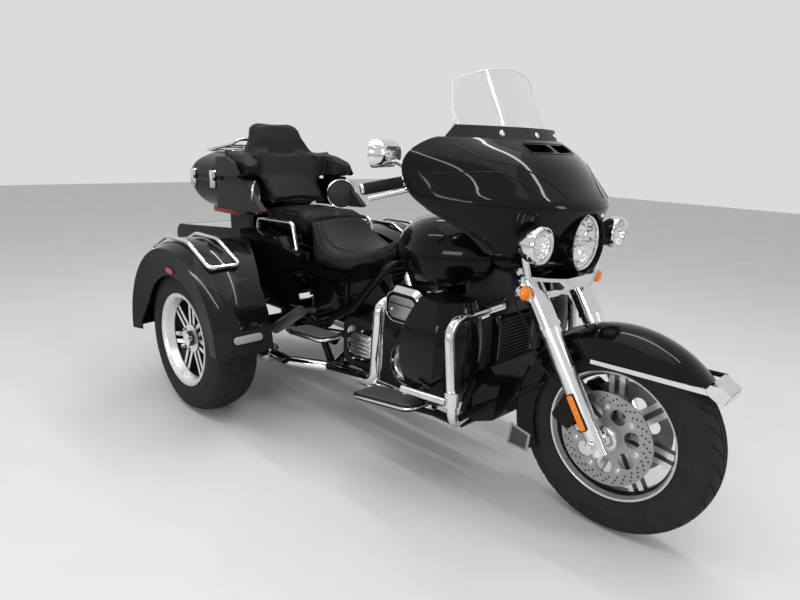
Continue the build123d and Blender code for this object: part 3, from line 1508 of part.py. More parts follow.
POD_Y = 252
POD_Z = 919
POD_R = 78
POD_TOE = 47
pod_face = Vector(rear(-24), -POD_Y, POD_Z)
pod_direction = Vector(cos(radians(POD_TOE)), sin(radians(POD_TOE)), 0)
with BuildPart() as speaker_pods:
    with BuildSketch(Plane(origin=pod_face, z_dir=pod_direction)):
        Circle(POD_R)
    extrude(amount=-150)
    with BuildSketch(Plane.XY.offset(POD_Z - 100)):
        with Locations((rear(CASE_FRONT + 118), -POD_Y + 14)):
            Rectangle(244, 128)
    extrude(amount=200, mode=Mode.INTERSECT)
    with BuildSketch(side_plane(0, 16 - CASE_HALF_W, 0)):
        with BuildLine():
            Polyline(
                (rear(CASE_FRONT - 60), 850),
                (rear(100), 862),
                (rear(112), 872),
                (rear(-46), 992),
                (rear(-60), 1003.7),
                (rear(CASE_FRONT - 60), 1003.7),
                close=True,
            )
        make_face()
    extrude(amount=28)
    add(backrest.part, mode=Mode.SUBTRACT)
    add(top_case.part, mode=Mode.SUBTRACT)
    with BuildSketch(Plane.XY.offset(CASE_SPLIT - 1)):
        with Locations((rear(CASE_FRONT - 148), 0)):
            Rectangle(308, 800)
    extrude(amount=200, mode=Mode.SUBTRACT)
    mirror(about=Plane.XZ)

# Rear lamps, the red strip under the top case, side markers and the bumper
MARKER_THICK = 6
MARKER_R = ARCH_R + 26
with BuildPart() as side_markers:
    slope = Vector(0, RING_R - ARCH_R, 24).normalized()
    foot = RING_OUT - 24 * (RING_R - MARKER_R) / (RING_R - ARCH_R) + 0.4
    marker_plane = Plane(origin=(REAR_X, -foot, REAR_TYRE_R + MARKER_R), x_dir=(1, 0, 0), z_dir=-slope)
    with BuildSketch(marker_plane):
        RectangleRounded(58, 24, 8)
    extrude(amount=MARKER_THICK)
    mirror(about=Plane.XZ)

with BuildPart() as tail_lamps:
    with BuildSketch(wheel_plane(rear(TRUNK_REAR) - 16, 0, 0)):
        with Locations((-306, 610), (306, 610)):
            RectangleRounded(58, 130, 20)
    extrude(amount=16)
    with BuildSketch(Plane.XY.offset(CASE_LOW - 30)):
        with Locations((rear(CASE_MIDDLE + 20), 0)):
            RectangleRounded(CASE_LENGTH - 104, 430, 60)
            RectangleRounded(CASE_LENGTH - 134, 400, 50, mode=Mode.SUBTRACT)
    extrude(amount=30 - FIT)
    for cut in (trunk_body, rear_fenders, speaker_pods):
        add(cut.part, mode=Mode.SUBTRACT)
    add(side_markers.part)

BUMPER_R = 17
with BuildPart() as rear_bumper:
    add(
        tube(
            [
                (rear(-560), -REAR_RAIL_Y - 40, 350),
                (REAR_END + BUMPER_R, -REAR_RAIL_Y - 60, 345),
                (REAR_END + BUMPER_R, REAR_RAIL_Y + 60, 345),
                (rear(-560), REAR_RAIL_Y + 40, 350),
            ],
            40,
            BUMPER_R,
        )
    )
    for side in (1, -1):
        y = side * REAR_RAIL_Y
        add(tube([(rear(-590), y, REAR_RAIL_Z - 8), (rear(-600), y, 350)], 1, 12))
        add(tube([(rear(-600), y, 350), (REAR_END + BUMPER_R, y, 346)], 1, 12))
    add(frame.part, mode=Mode.SUBTRACT)
    add(trunk_body.part, mode=Mode.SUBTRACT)

# Rear axle: the differential, its tubes and the swingarm
with BuildPart() as rear_axle:
    with BuildSketch(side_plane(REAR_X, 440, REAR_TYRE_R)):
        Circle(36)
    extrude(amount=880)
    with BuildSketch(side_plane(REAR_X, 84, REAR_TYRE_R)):
        Circle(84)
    extrude(amount=168)
    for side in (1, -1):
        with BuildSketch(side_plane(REAR_X, side * 482 + 41.5, REAR_TYRE_R)):
            Circle(46)
        extrude(amount=83)
        add(tube([(REAR_X, side * 130, REAR_TYRE_R), (rear(400), side * 118, 320)], 1, 22))
    with BuildSketch(side_plane(REAR_X, 130, REAR_TYRE_R)):
        Circle(88 - FIT)
    extrude(amount=60)
    add(rear_rim_right.part, mode=Mode.SUBTRACT)
    add(rear_rim_left.part, mode=Mode.SUBTRACT)
    add(crankcase.part, mode=Mode.SUBTRACT)

with BuildPart() as shock_absorbers:
    for side in (1, -1):
        add(tube([(rear(96), side * 232, 322), (rear(300), side * 232, 452)], 1, 26))
        add(tube([(rear(120), side * 120, 322), (rear(120), side * 236, 334)], 1, 12))
        add(tube([(rear(290), side * 150, 440), (rear(290), side * 236, 446)], 1, 12))
    for cut in (side_covers, frame, rear_axle, exhaust_pipes, mufflers):
        add(cut.part, mode=Mode.SUBTRACT)

# Drive belt on the left, from the gearbox to the differential
with BuildPart() as drive_belt:
    with BuildSketch(side_plane(0, BELT_Y + 28, 0)):
        with BuildLine():
            Line((rear(0), REAR_TYRE_R + 92), (rear(412), 330 + 40))
            ThreePointArc((rear(412), 370), (rear(452), 330), (rear(412), 290))
            Line((rear(412), 290), (rear(0), REAR_TYRE_R - 92))
            ThreePointArc((rear(0), REAR_TYRE_R - 92), (rear(-92), REAR_TYRE_R), (rear(0), REAR_TYRE_R + 92))
        make_face()
        offset(amount=-4, mode=Mode.SUBTRACT)
    extrude(amount=28)
    add(rear_axle.part, mode=Mode.SUBTRACT)
    add(crankcase.part, mode=Mode.SUBTRACT)

# Footboards with their brackets, and the pedals
with BuildPart() as footboards:
    along = (cos(radians(8)), 0, sin(radians(8)))
    upward = (-sin(radians(8)), 0, cos(radians(8)))
    for side in (1, -1):
        with BuildSketch(Plane(origin=(rear(1005), side * 350, 300), x_dir=along, z_dir=upward)):
            RectangleRounded(300, 124, 36)
        extrude(amount=16)
        with BuildSketch(Plane(origin=(rear(560), side * 352, 428), x_dir=(1, 0, 0.06), z_dir=(-0.06, 0, 1))):
            RectangleRounded(240, 108, 34)
        extrude(amount=15)
        for x, z in ((900, 282), (1090, 308)):
            add(tube([(rear(x), side * (RAIL_Y + 6), RAIL_Z + 6), (rear(x), side * 352, z)], 1, 11))
        add(tube([(rear(520), side * 105, 372), (rear(540), side * 352, 422)], 1, 11))
    for cut in (frame, crankcase, engine_covers, exhaust_pipes):
        add(cut.part, mode=Mode.SUBTRACT)

with BuildPart() as foot_pedals:
    add(tube([(rear(1000), -RAIL_Y - 16, 232), (rear(1085), -300, 356), (rear(1118), -345, 372)], 30, 8))
    with BuildSketch(Plane(origin=(rear(1120), -350, 372), z_dir=(-0.3, 0, 1))):
        RectangleRounded(60, 78, 12)
    extrude(amount=12)
    add(tube([(rear(1000), RAIL_Y + 16, 232), (rear(1100), 300, 372), (rear(1130), 348, 378)], 30, 7))
    for cut in (frame, footboards, lower_fairings, exhaust_pipes, engine_covers):
        add(cut.part, mode=Mode.SUBTRACT)


write(front_tyre, "front_tyre")
write(rear_tyre_right, "rear_tyre_right")
write(rear_tyre_left, "rear_tyre_left")
write(front_rim, "front_rim")
write(rear_rim_right, "rear_rim_right")
write(rear_rim_left, "rear_rim_left")
write(front_discs, "front_discs")
write(fork_sliders, "fork_sliders")
write(fork_covers, "fork_covers")
write(fork_clamps, "fork_clamps")
write(brake_callipers, "brake_callipers")
write(front_fender, "front_fender")
write(fender_trim, "fender_trim")
write(headlamp, "headlamp")
write(passing_lamps, "passing_lamps")
write(lamp_bracket, "lamp_bracket")
write(turn_signals, "turn_signals")
write(outer_fairing, "outer_fairing")
write(inner_fairing, "inner_fairing")
write(windshield_trim, "windshield_trim")
write(windshield, "windshield")
write(handlebar, "handlebar")
write(hand_grips, "hand_grips")
write(hand_controls, "hand_controls")
write(mirrors, "mirrors")
write(brake_line, "brake_line")
write(frame, "frame")
write(crankcase, "crankcase")
write(cylinders, "cylinders")
write(rocker_boxes, "rocker_boxes")
write(engine_covers, "engine_covers")
write(air_cleaner, "air_cleaner")
write(exhaust_pipes, "exhaust_pipes")
write(mufflers, "mufflers")
write(engine_guard, "engine_guard")
write(lower_fairings, "lower_fairings")
write(highway_pegs, "highway_pegs")
write(chin_cover, "chin_cover")
write(fuel_tank, "fuel_tank")
write(tank_console, "tank_console")
write(rider_seat, "rider_seat")
write(passenger_seat, "passenger_seat")
write(side_covers, "side_covers")
write(trunk_body, "trunk_body")
write(trunk_door, "trunk_door")
write(rear_fenders, "rear_fenders")
write(body_rails, "body_rails")
write(top_case, "top_case")
write(top_case_lid, "top_case_lid")
write(luggage_rack, "luggage_rack")
write(lid_fittings, "lid_fittings")
write(backrest, "backrest")
write(speaker_pods, "speaker_pods")
write(tail_lamps, "tail_lamps")
write(rear_bumper, "rear_bumper")
write(rear_axle, "rear_axle")
write(shock_absorbers, "shock_absorbers")
write(drive_belt, "drive_belt")
write(footboards, "footboards")
write(foot_pedals, "foot_pedals")
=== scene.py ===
# %% [markdown]
# A full-dress touring trike, dressed round its CAD frame.
# The frame holds every rigid piece at its true size, in metres, with X forward, Y to the rider's
# left and Z up. This file adds what a CAD model leaves out: the finish of each surface, the
# padded seats, the tyre treads, lenses, seams, bolts and trim.

from math import atan2, cos, pi, radians, sin, sqrt

import bmesh
import bpy
import numpy as np
from mathutils import Matrix, Vector


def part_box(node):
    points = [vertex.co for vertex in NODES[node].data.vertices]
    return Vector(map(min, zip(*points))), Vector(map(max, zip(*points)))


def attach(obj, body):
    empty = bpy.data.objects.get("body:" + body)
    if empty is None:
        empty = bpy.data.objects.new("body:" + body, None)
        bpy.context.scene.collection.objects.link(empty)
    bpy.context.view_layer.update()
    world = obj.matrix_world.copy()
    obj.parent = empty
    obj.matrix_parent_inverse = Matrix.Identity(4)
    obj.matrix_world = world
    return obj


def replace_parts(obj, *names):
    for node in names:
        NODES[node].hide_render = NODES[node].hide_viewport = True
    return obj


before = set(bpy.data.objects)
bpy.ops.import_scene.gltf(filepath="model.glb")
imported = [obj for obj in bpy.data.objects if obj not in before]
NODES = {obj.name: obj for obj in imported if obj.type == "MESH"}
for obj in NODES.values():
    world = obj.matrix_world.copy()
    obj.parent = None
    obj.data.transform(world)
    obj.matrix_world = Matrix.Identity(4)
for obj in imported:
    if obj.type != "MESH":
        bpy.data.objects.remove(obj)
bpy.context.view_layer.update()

# %% Places and directions that every step uses
FRONT_X, FRONT_Z = 1.015, 0.32
REAR_X, REAR_Z = -0.655, 0.324
FORWARD, BACKWARD, LEFT, RIGHT, UP = (1, 0, 0), (-1, 0, 0), (0, 1, 0), (0, -1, 0), (0, 0, 1)
SIDES = ((-1, "right"), (1, "left"))
print("wheelbase:", FRONT_X - REAR_X)

# %% [markdown]
# A Blender material is a graph of nodes. Writing the graph as arithmetic keeps it readable, so a
# small class wraps a socket, and adding or multiplying two of them adds a Math node. Every other
# node comes from one method, which takes the node's type, its settings and its inputs.

# %% Shader arithmetic
FINISHES = {}


class Value:
    """A number that varies over a surface, usable in ordinary arithmetic."""

    def __init__(self, finish, socket):
        self.finish = finish
        self.socket = socket

    def math(self, operation, *inputs):
        """A Math node of the given inputs, or of this value alone."""
        sockets = dict(enumerate(inputs or (self,)))
        return self.finish.node("ShaderNodeMath", {"operation": operation}, sockets)["Value"]

    def __add__(self, other):
        return self.math("ADD", self, other)

    __radd__ = __add__

    def __sub__(self, other):
        return self.math("SUBTRACT", self, other)

    def __rsub__(self, other):
        return self.math("SUBTRACT", other, self)

    def __mul__(self, other):
        return self.math("MULTIPLY", self, other)

    __rmul__ = __mul__

    def above(self, edge, soft):
        """1 where the value is over the edge, 0 below, with a soft step between."""
        step = {"Value": self, "From Min": edge - soft, "From Max": edge + soft}
        return self.finish.node("ShaderNodeMapRange", {}, step)["Result"]


class Node:
    """A node whose outputs are read by name."""

    def __init__(self, finish, node):
        self.finish = finish
        self.node = node

    def __getitem__(self, name):
        return Value(self.finish, self.node.outputs[name])


class Finish:
    """A material and its graph, built round one Principled shader."""

    def __init__(self, name, **constants):
        self.material = bpy.data.materials.new(name)
        self.material.use_nodes = True
        self.tree = self.material.node_tree
        self.tree.nodes.clear()
        output = self.tree.nodes.new("ShaderNodeOutputMaterial")
        self.shader = self.tree.nodes.new("ShaderNodeBsdfPrincipled")
        self.tree.links.new(self.shader.outputs[0], output.inputs["Surface"])
        for key, value in constants.items():
            self.shader.inputs[key.replace("_", " ")].default_value = value
        self.place = self.node("ShaderNodeTexCoord", {}, {})["Object"]
        FINISHES[name] = self.material

    def node(self, kind, settings, inputs):
        made = self.tree.nodes.new(kind)
        for key, value in settings.items():
            setattr(made, key, value)
        for key, value in inputs.items():
            if isinstance(value, Value):
                self.tree.links.new(value.socket, made.inputs[key])
            else:
                made.inputs[key].default_value = value
        return Node(self, made)

    def noise(self, scale, detail=3.0, roughness=0.5, where=None):
        """Cloudy noise, scale in lumps to the metre."""
        inputs = {"Vector": where or self.place, "Scale": scale, "Detail": detail, "Roughness": roughness}
        return self.node("ShaderNodeTexNoise", {}, inputs)["Fac"]

    def cells(self, scale):
        """Distance to the nearest of many scattered points, scale in points to the metre."""
        inputs = {"Vector": self.place, "Scale": scale}
        return self.node("ShaderNodeTexVoronoi", {"feature": "F1"}, inputs)["Distance"]

    def stretched(self, x, y, z):
        """The object's coordinates, each axis scaled."""
        inputs = {0: self.place, 1: (x, y, z)}
        return self.node("ShaderNodeVectorMath", {"operation": "MULTIPLY"}, inputs)["Vector"]

    def mix(self, factor, first, second):
        """A blend of two colours."""
        made = self.node("ShaderNodeMix", {"data_type": "RGBA"}, {0: factor, 6: first, 7: second})
        return Value(self, made.node.outputs[2])

    def set(self, **sockets):
        for key, value in sockets.items():
            self.tree.links.new(value.socket, self.shader.inputs[key.replace("_", " ")])

    def bump(self, height, depth):
        """Surface relief: depth is the real height in metres of a step from 0 to 1."""
        made = self.node("ShaderNodeBump", {}, {"Height": height, "Strength": 1.0, "Distance": depth})
        self.set(Normal=made["Normal"])


def rgb(red, green, blue):
    return (red, green, blue, 1.0)


def shade(colour, factor):
    """A colour made darker or lighter."""
    return rgb(*[min(1.0, factor * channel) for channel in colour[:3]])


def clouded(name, scale, detail, first, second, rough=None, grain=None, **constants):
    """A finish that drifts between two colours.

    rough is a base and a spread of roughness, and grain a scale and a depth of fine relief.
    """
    finish = Finish(name, **constants)
    cloud = finish.noise(scale, detail)
    finish.set(Base_Color=finish.mix(cloud, first, second))
    if rough:
        finish.set(Roughness=rough[0] + rough[1] * cloud)
    if grain:
        finish.bump(finish.cells(grain[0]), grain[1])
    return finish


print("shader arithmetic ready")

# %% [markdown]
# Most of the body is the same deep black paint: a dark coat with a clear lacquer over it. Paint is
# never quite flat, so a faint, wide ripple bends its reflections, and a film of dust in the
# lacquer makes the roughness wander a little.

# %% Paint
PAINT_BLACK = rgb(0.0035, 0.004, 0.0052)


def paint(name, colour, ripple=0.00012, dust=0.05):
    finish = Finish(
        name, IOR=1.5, Specular_IOR_Level=0.02, Coat_Weight=1.0, Coat_Roughness=0.02, Coat_IOR=1.25,
    )
    cloud = finish.noise(7.0, 4.0)
    finish.set(Base_Color=finish.mix(cloud.above(0.5, 0.3), colour, shade(colour, 0.55)))
    finish.set(Roughness=0.22 + dust * cloud + 0.04 * finish.cells(900.0))
    finish.bump(finish.noise(55.0, 2.0) + 0.25 * finish.noise(700.0, 1.0), ripple)


paint("gloss_black", PAINT_BLACK)
paint("frame_black", rgb(0.006, 0.006, 0.0065), 0.0002, 0.15)
print("paints:", list(FINISHES))

# %% [markdown]
# Chrome is a thin bright plating. It shows whatever stands round it, so what makes it look real
# is very slight waviness, faint handling haze, and a darker tint in the haze.

# %% Bright metals


def metal(name, colour, rough, haze, ripple, grain=None):
    finish = Finish(name, Metallic=1.0)
    cloud = finish.noise(14.0, 5.0, 0.6)
    finish.set(Base_Color=finish.mix(cloud.above(0.52, 0.25), colour, shade(colour, 0.82)))
    finish.set(Roughness=rough + haze * cloud.above(0.5, 0.3))
    height = finish.noise(38.0, 2.0)
    if grain:
        height = height + 0.3 * finish.noise(1.0, 2.0, 0.5, finish.stretched(*grain))
    finish.bump(height, ripple)


metal("chrome", rgb(0.8, 0.8, 0.81), 0.04, 0.07, 0.0002)
metal("cast_aluminium", rgb(0.5, 0.5, 0.5), 0.33, 0.15, 0.0006)
metal("polished_alloy", rgb(0.86, 0.855, 0.84), 0.2, 0.1, 0.0002)
metal("brushed_steel", rgb(0.42, 0.41, 0.4), 0.3, 0.12, 0.0001, (900.0, 60.0, 900.0))
metal("machined_face", rgb(0.7, 0.7, 0.7), 0.2, 0.1, 0.0001)
print("finishes with the metals:", len(FINISHES))

# %% [markdown]
# The engine castings wear a black crinkle coat. It is a dense, shallow network of wrinkles, made
# here from a cell pattern with noise in it, in relief and in roughness. Rubber, moulded plastic
# and the seats' vinyl are the same idea at other scales.

# %% Textured blacks


def textured(name, colour, scale, depth, rough, spread=0.12):
    finish = Finish(name, IOR=1.45, Specular_IOR_Level=0.18)
    wrinkle = finish.cells(scale)
    cloud = finish.noise(20.0, 4.0)
    worn = (wrinkle * 0.6 + cloud * 0.6).above(0.62, 0.2)
    finish.set(Base_Color=finish.mix(worn, colour, shade(colour, 1.9)), Roughness=rough + spread * cloud)
    finish.bump(wrinkle + 0.4 * finish.noise(scale * 1.7, 2.0), depth)


textured("crinkle_black", rgb(0.018, 0.018, 0.019), 700.0, 0.0004, 0.42)
textured("moulded_plastic", rgb(0.016, 0.016, 0.017), 1500.0, 0.00012, 0.4)
textured("rubber", rgb(0.01, 0.01, 0.01), 420.0, 0.0002, 0.62)
textured("tyre_rubber", rgb(0.014, 0.014, 0.014), 260.0, 0.0002, 0.66, 0.2)
textured("vinyl", rgb(0.0045, 0.0045, 0.005), 620.0, 0.00025, 0.36)
print("finishes with the textured blacks:", len(FINISHES))

# %% [markdown]
# The windshield is a thin clear sheet, so it is all transmission, and a low alpha lets most of the
# light pass straight on. Lamp lenses are coloured and ribbed, and a faint emission gives them a
# painted glow that stands in for the light that is caught in them.

# %% Windshield and lenses
SHEET_TINT = rgb(0.93, 0.95, 0.96)
clouded(
    "windshield_sheet", 30.0, 3.0, SHEET_TINT, shade(SHEET_TINT, 0.9), (0.0, 0.03),
    IOR=1.49, Specular_IOR_Level=0.16, Transmission_Weight=1.0, Alpha=0.17,
)


def lamp_plastic(name, colour, painted_glow):
    # The emission is a painted glow, standing in for light caught in the lens.
    finish = Finish(
        name, IOR=1.45, Specular_IOR_Level=0.3, Coat_Weight=0.35, Coat_Roughness=0.05,
        Emission_Color=colour, Emission_Strength=painted_glow,
    )
    ribs = finish.cells(260.0)
    finish.set(Base_Color=finish.mix(ribs, colour, shade(colour, 0.5)), Roughness=0.16 + 0.1 * ribs)
    finish.bump(ribs, 0.0004)


lamp_plastic("amber_lens", rgb(0.9, 0.23, 0.0), 0.22)
lamp_plastic("red_lens", rgb(0.42, 0.012, 0.01), 0.05)
print("finishes with the lenses:", len(FINISHES))

# %% [markdown]
# Each CAD node gets the finish its real piece has. The rims and the rear fenders carry two
# finishes each, which are made further on.

# %% Finish the CAD nodes
NODE_FINISH = {
    "gloss_black": "fuel_tank front_fender outer_fairing top_case top_case_lid trunk_body trunk_door"
    " side_covers lower_fairings",
    "frame_black": "frame rear_axle chin_cover brake_callipers",
    "crinkle_black": "crankcase cylinders rear_bumper",
    "chrome": "rocker_boxes engine_covers air_cleaner exhaust_pipes mufflers engine_guard"
    " highway_pegs foot_pedals fork_covers fork_clamps handlebar hand_controls mirrors body_rails"
    " luggage_rack lid_fittings tank_console fender_trim lamp_bracket headlamp passing_lamps",
    "cast_aluminium": "shock_absorbers",
    "polished_alloy": "fork_sliders",
    "brushed_steel": "front_discs",
    "tyre_rubber": "front_tyre rear_tyre_left rear_tyre_right",
    "vinyl": "rider_seat passenger_seat backrest",
    "rubber": "hand_grips footboards drive_belt brake_line",
    "moulded_plastic": "inner_fairing speaker_pods windshield_trim",
    "amber_lens": "turn_signals",
    "red_lens": "tail_lamps",
    "windshield_sheet": "windshield",
}


def show_finish(finish, nodes):
    for node in nodes.split():
        mesh = NODES[node].data
        mesh.materials.clear()
        mesh.materials.append(FINISHES[finish])


for finish_name, node_names in NODE_FINISH.items():
    show_finish(finish_name, node_names)
print("finished later:", sorted(set(NODES) - set(" ".join(NODE_FINISH.values()).split())))

# %% [markdown]
# Every piece that this file adds is made from points and faces or from a curve. A few small tools
# do what all of them need: put the piece in the scene, give it modifiers, and move its points.

# %% Small tools for pieces


def add_object(name, data):
    piece = bpy.data.objects.new(name, data)
    bpy.context.scene.collection.objects.link(piece)
    return piece


def mesh_from(name, verts, faces):
    mesh = bpy.data.meshes.new(name)
    mesh.from_pydata([tuple(v) for v in verts], [], faces)
    mesh.update()
    return add_object(name, mesh)


def assign(target, **values):
    for key, value in values.items():
        setattr(target, key, value)


def modify(piece, kind, **settings):
    assign(piece.modifiers.new(kind.lower(), kind), **settings)


def apply_modifiers(piece):
    graph = bpy.context.evaluated_depsgraph_get()
    baked = bpy.data.meshes.new_from_object(piece.evaluated_get(graph))
    piece.modifiers.clear()
    piece.data = baked


def shade_smooth(piece):
    piece.data.polygons.foreach_set("use_smooth", [True] * len(piece.data.polygons))
    piece.data.update()


def points_of(piece):
    flat = np.empty(len(piece.data.vertices) * 3)
    piece.data.vertices.foreach_get("co", flat)
    return flat.reshape(-1, 3)


def put_points(piece, points):
    piece.data.vertices.foreach_set("co", points.ravel())
    piece.data.update()


def sink(piece, depth):
    """Move each point of a skin inward by its own depth."""
    normals = np.array([v.normal[:] for v in piece.data.vertices])
    put_points(piece, points_of(piece) - normals * depth)


print("piece tools ready")

# %% [markdown]
# The rider's seat, the passenger's seat and the backrest are vinyl stretched over foam. Each could
# be sculpted by hand, but a cover that is blown up a little from inside crowns itself the way real
# upholstery does. So the CAD solid is shrunk, rebuilt as an even skin, given air pressure as
# cloth, and kept from moving further than foam would let it.

# %% Blow up a cushion from its CAD solid
CUSHION_VOXEL = 0.007
LAST_STEP = 20
RELAX_AFTER = 6


def relax(piece, times):
    modify(piece, "SMOOTH", factor=0.5, iterations=times)
    apply_modifiers(piece)


def subdivide(piece):
    modify(piece, "SUBSURF", levels=1, render_levels=1)
    apply_modifiers(piece)


def blow_up(piece, swell):
    """Fill a skin with air as cloth, and let no point move further than swell."""
    rest = points_of(piece)
    cloth = piece.modifiers.new("air", "CLOTH")
    assign(cloth.settings, quality=4, use_pressure=True, uniform_pressure_force=4.0)
    assign(cloth.settings, tension_stiffness=18.0, compression_stiffness=18.0, bending_stiffness=0.8)
    cloth.settings.effector_weights.gravity = 0.0
    assign(cloth.point_cache, frame_start=1, frame_end=LAST_STEP)
    for step in range(1, LAST_STEP + 1):
        bpy.context.scene.frame_set(step)
    apply_modifiers(piece)
    moved = points_of(piece) - rest
    keep = np.minimum(1.0, swell / np.maximum(np.linalg.norm(moved, axis=1), 1e-9))
    put_points(piece, rest + moved * keep[:, None])
    bpy.context.scene.frame_set(1)
    relax(piece, RELAX_AFTER)


def cushion(name, node, inset, swell, smooth):
    """A crowned skin grown from a CAD solid that is first drawn in by inset."""
    piece = NODES[node].copy()
    piece.data = NODES[node].data.copy()
    piece.name = name
    bpy.context.scene.collection.objects.link(piece)
    piece.modifiers.clear()
    modify(piece, "REMESH", mode="VOXEL", voxel_size=CUSHION_VOXEL)
    apply_modifiers(piece)
    sink(piece, inset)
    relax(piece, smooth)
    blow_up(piece, swell)
    return piece


def finish_cushion(piece, node, body):
    piece.data.materials.clear()
    piece.data.materials.append(FINISHES["vinyl"])
    shade_smooth(piece)
    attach(piece, body)
    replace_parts(piece, node)
    points = points_of(piece)
    print(piece.name, "points", len(points), "box", points.min(0).round(3), points.max(0).round(3))


print("cushion tools ready")

# %% [markdown]
# A sewn seam pulls the cover down into the foam, with a soft shoulder on each side and a line of
# thread in the bottom. The seam is given here as a line of points on the cushion, and each point
# of the skin sinks by how near it lies to that line.

# %% Sew a channel into a cushion


def distance_to_line(points, line):
    """The distance from each point to a chain of straight runs."""
    best = np.full(len(points), np.inf)
    for first, second in zip(line[:-1], line[1:]):
        run = second - first
        share = np.clip((points - first) @ run / (run @ run), 0.0, 1.0)
        best = np.minimum(best, np.linalg.norm(points - first - share[:, None] * run, axis=1))
    return best


def curve_points(points, per_run=8, closed=False):
    """A smooth chain through a few points."""
    points = [np.array(p, float) for p in points]
    count = len(points)
    out = []
    for i in range(count if closed else count - 1):
        a = points[(i - 1) % count] if closed or i > 0 else points[i]
        b, c = points[i], points[(i + 1) % count]
        d = points[(i + 2) % count] if closed or i + 2 < count else c
        for step in range(per_run):
            t = step / per_run
            bend = (2 * a - 5 * b + 4 * c - d) * t**2 + (3 * b - a - 3 * c + d) * t**3
            out.append(0.5 * (2 * b + (c - a) * t + bend))
    out.append(out[0] if closed else points[-1])
    return out


def mirrored(right_half, middle=()):
    """Points on the right, those in the middle, and the right ones again on the left."""
    return [*right_half, *middle, *[(x, -y, z) for x, y, z in reversed(right_half)]]


def sew(piece, line, width, depth, flat=None):
    """Sink a channel along a line; flat drops one axis, so the line is a shadow cast on the skin."""
    near, chain = points_of(piece), np.array(line, float)
    facing = 1.0
    if flat is not None:
        near[:, flat] = 0.0
        chain[:, flat] = 0.0
        normals = np.array([v.normal[:] for v in piece.data.vertices])
        facing = np.clip(normals[:, flat] * 3.0, 0.0, 1.0)
    away = distance_to_line(near, chain)
    sink(piece, (depth * np.exp(-((away / width) ** 2)) * facing)[:, None])


def cord_round(name, line, thickness, closed=True, finish="chrome", body="chassis"):
    """A thin round trim that follows a line: a bead, a seam, an edge."""
    data = bpy.data.curves.new(name, "CURVE")
    assign(data, dimensions="3D", bevel_depth=thickness / 2, bevel_resolution=3)
    spline = data.splines.new("POLY")
    spline.points.add(len(line) - 1)
    for point, place in zip(spline.points, line):
        point.co = (*[float(v) for v in place], 1.0)
    spline.use_cyclic_u = closed
    data.materials.append(FINISHES[finish])
    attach(add_object(name, data), body)


print("seam tools ready")

# %% [markdown]
# The rider's saddle is a deep bucket: high at the back, a dished middle, and a nose that narrows to
# the tank. Its sides fall away from the middle, so the flat CAD top is first bent down across the
# trike. A smoother panel is sewn into the middle of it.

# %% Rider's saddle


def droop(shape, amount, floor, over):
    """Bend a top down toward its sides, from nothing at the floor to the whole amount above it."""
    shape[:, 2] -= amount * shape[:, 1] ** 2 * np.clip((shape[:, 2] - floor) / over, 0, 1)


saddle = cushion("rider_saddle", "rider_seat", 0.01, 0.014, 14)
shape = points_of(saddle)
droop(shape, 0.9, 0.66, 0.1)
shape[:, 2] -= 0.01 * np.clip(shape[:, 0] / 0.08, 0, 1)
put_points(saddle, shape)
subdivide(saddle)
panel_side = [(-0.135, -0.085, 0), (-0.2, -0.128, 0), (-0.29, -0.142, 0), (-0.365, -0.118, 0)]
panel_loop = [(-0.118, 0, 0), *mirrored(panel_side, [(-0.368, 0, 0)])]
sew(saddle, curve_points(panel_loop, 8, True), 0.0045, 0.0055, 2)
skirt_side = [(-0.42, -0.215, 0.715), (-0.25, -0.235, 0.7), (-0.08, -0.19, 0.722), (0.03, -0.1, 0.765)]
sew(saddle, curve_points(mirrored(skirt_side, [(0.075, 0, 0.78)]), 6), 0.012, 0.005)
finish_cushion(saddle, "rider_seat", "chassis")

# %% Passenger's seat
pillion = cushion("passenger_cushion", "passenger_seat", 0.009, 0.012, 16)
shape = points_of(pillion)
droop(shape, 0.35, 0.79, 0.06)
put_points(pillion, shape)
subdivide(pillion)
pillion_low, pillion_high = points_of(pillion).min(0), points_of(pillion).max(0)
half = float(pillion_high[1]) - 0.045
back, front = float(pillion_low[0]) + 0.05, float(pillion_high[0]) - 0.06
border = mirrored([(back, -half, 0), (front, -half, 0)], [(front + 0.02, 0, 0)])
sew(pillion, curve_points([*border, (back - 0.01, 0, 0)], 8, True), 0.0045, 0.0055, 2)
finish_cushion(pillion, "passenger_seat", "chassis")

# %% [markdown]
# The backrest leans back between two wings that wrap round the passenger. Its skin is grown in the
# same way, then a crease is pulled in across the small of the back, and a seam follows the pad's
# edge and divides each wing from the pad.

# %% Backrest
backrest_pad = cushion("backrest_pad", "backrest", 0.01, 0.012, 18)
subdivide(backrest_pad)
pad_side = [
    (0, -0.15, 0.905), (0, -0.17, 0.99), (0, -0.2, 1.06), (0, -0.196, 1.115),
    (0, -0.16, 1.155), (0, -0.132, 1.205), (0, -0.104, 1.237), (0, -0.06, 1.25),
]
sew(backrest_pad, curve_points(mirrored(pad_side), 5), 0.006, 0.005, 0)
sew(backrest_pad, mirrored([(0, -0.062, 1.12)], [(0, 0, 1.114)]), 0.011, 0.008, 0)
finish_cushion(backrest_pad, "backrest", "top_case_lid")

# %% [markdown]
# A tyre is a profile turned about its axle. The tread is cut into it by sinking the points that
# lie in a groove, so the skin is spun finely enough for each groove to have its own walls. The
# sidewall keeps a raised rim guard and a few fine rings; the makers' words are left off.

# %% Turn a tyre
TREAD_STEPS, SIDE_STEPS = 44, 14
CROWN_DROP, CROWN_POWER = 0.2, 2.6
BULGE_RATE = 1.55
BEAD_FROM, BEAD_DRAW, BEAD_TUCK = 0.62, 0.012, 0.006
RING_ROWS, RING_HEIGHT = (4, 10), 0.0012
BOX_MARGIN = 0.0005
ON_THE_SIDE = 2.0


def strips(around, rows):
    """The faces of a skin that is spun in so many steps from so many rows of points."""
    faces = []
    for k in range(around):
        for i in range(rows - 1):
            a, b = k * rows + i, ((k + 1) % around) * rows + i
            faces.append((a, a + 1, b + 1, b))
    return faces


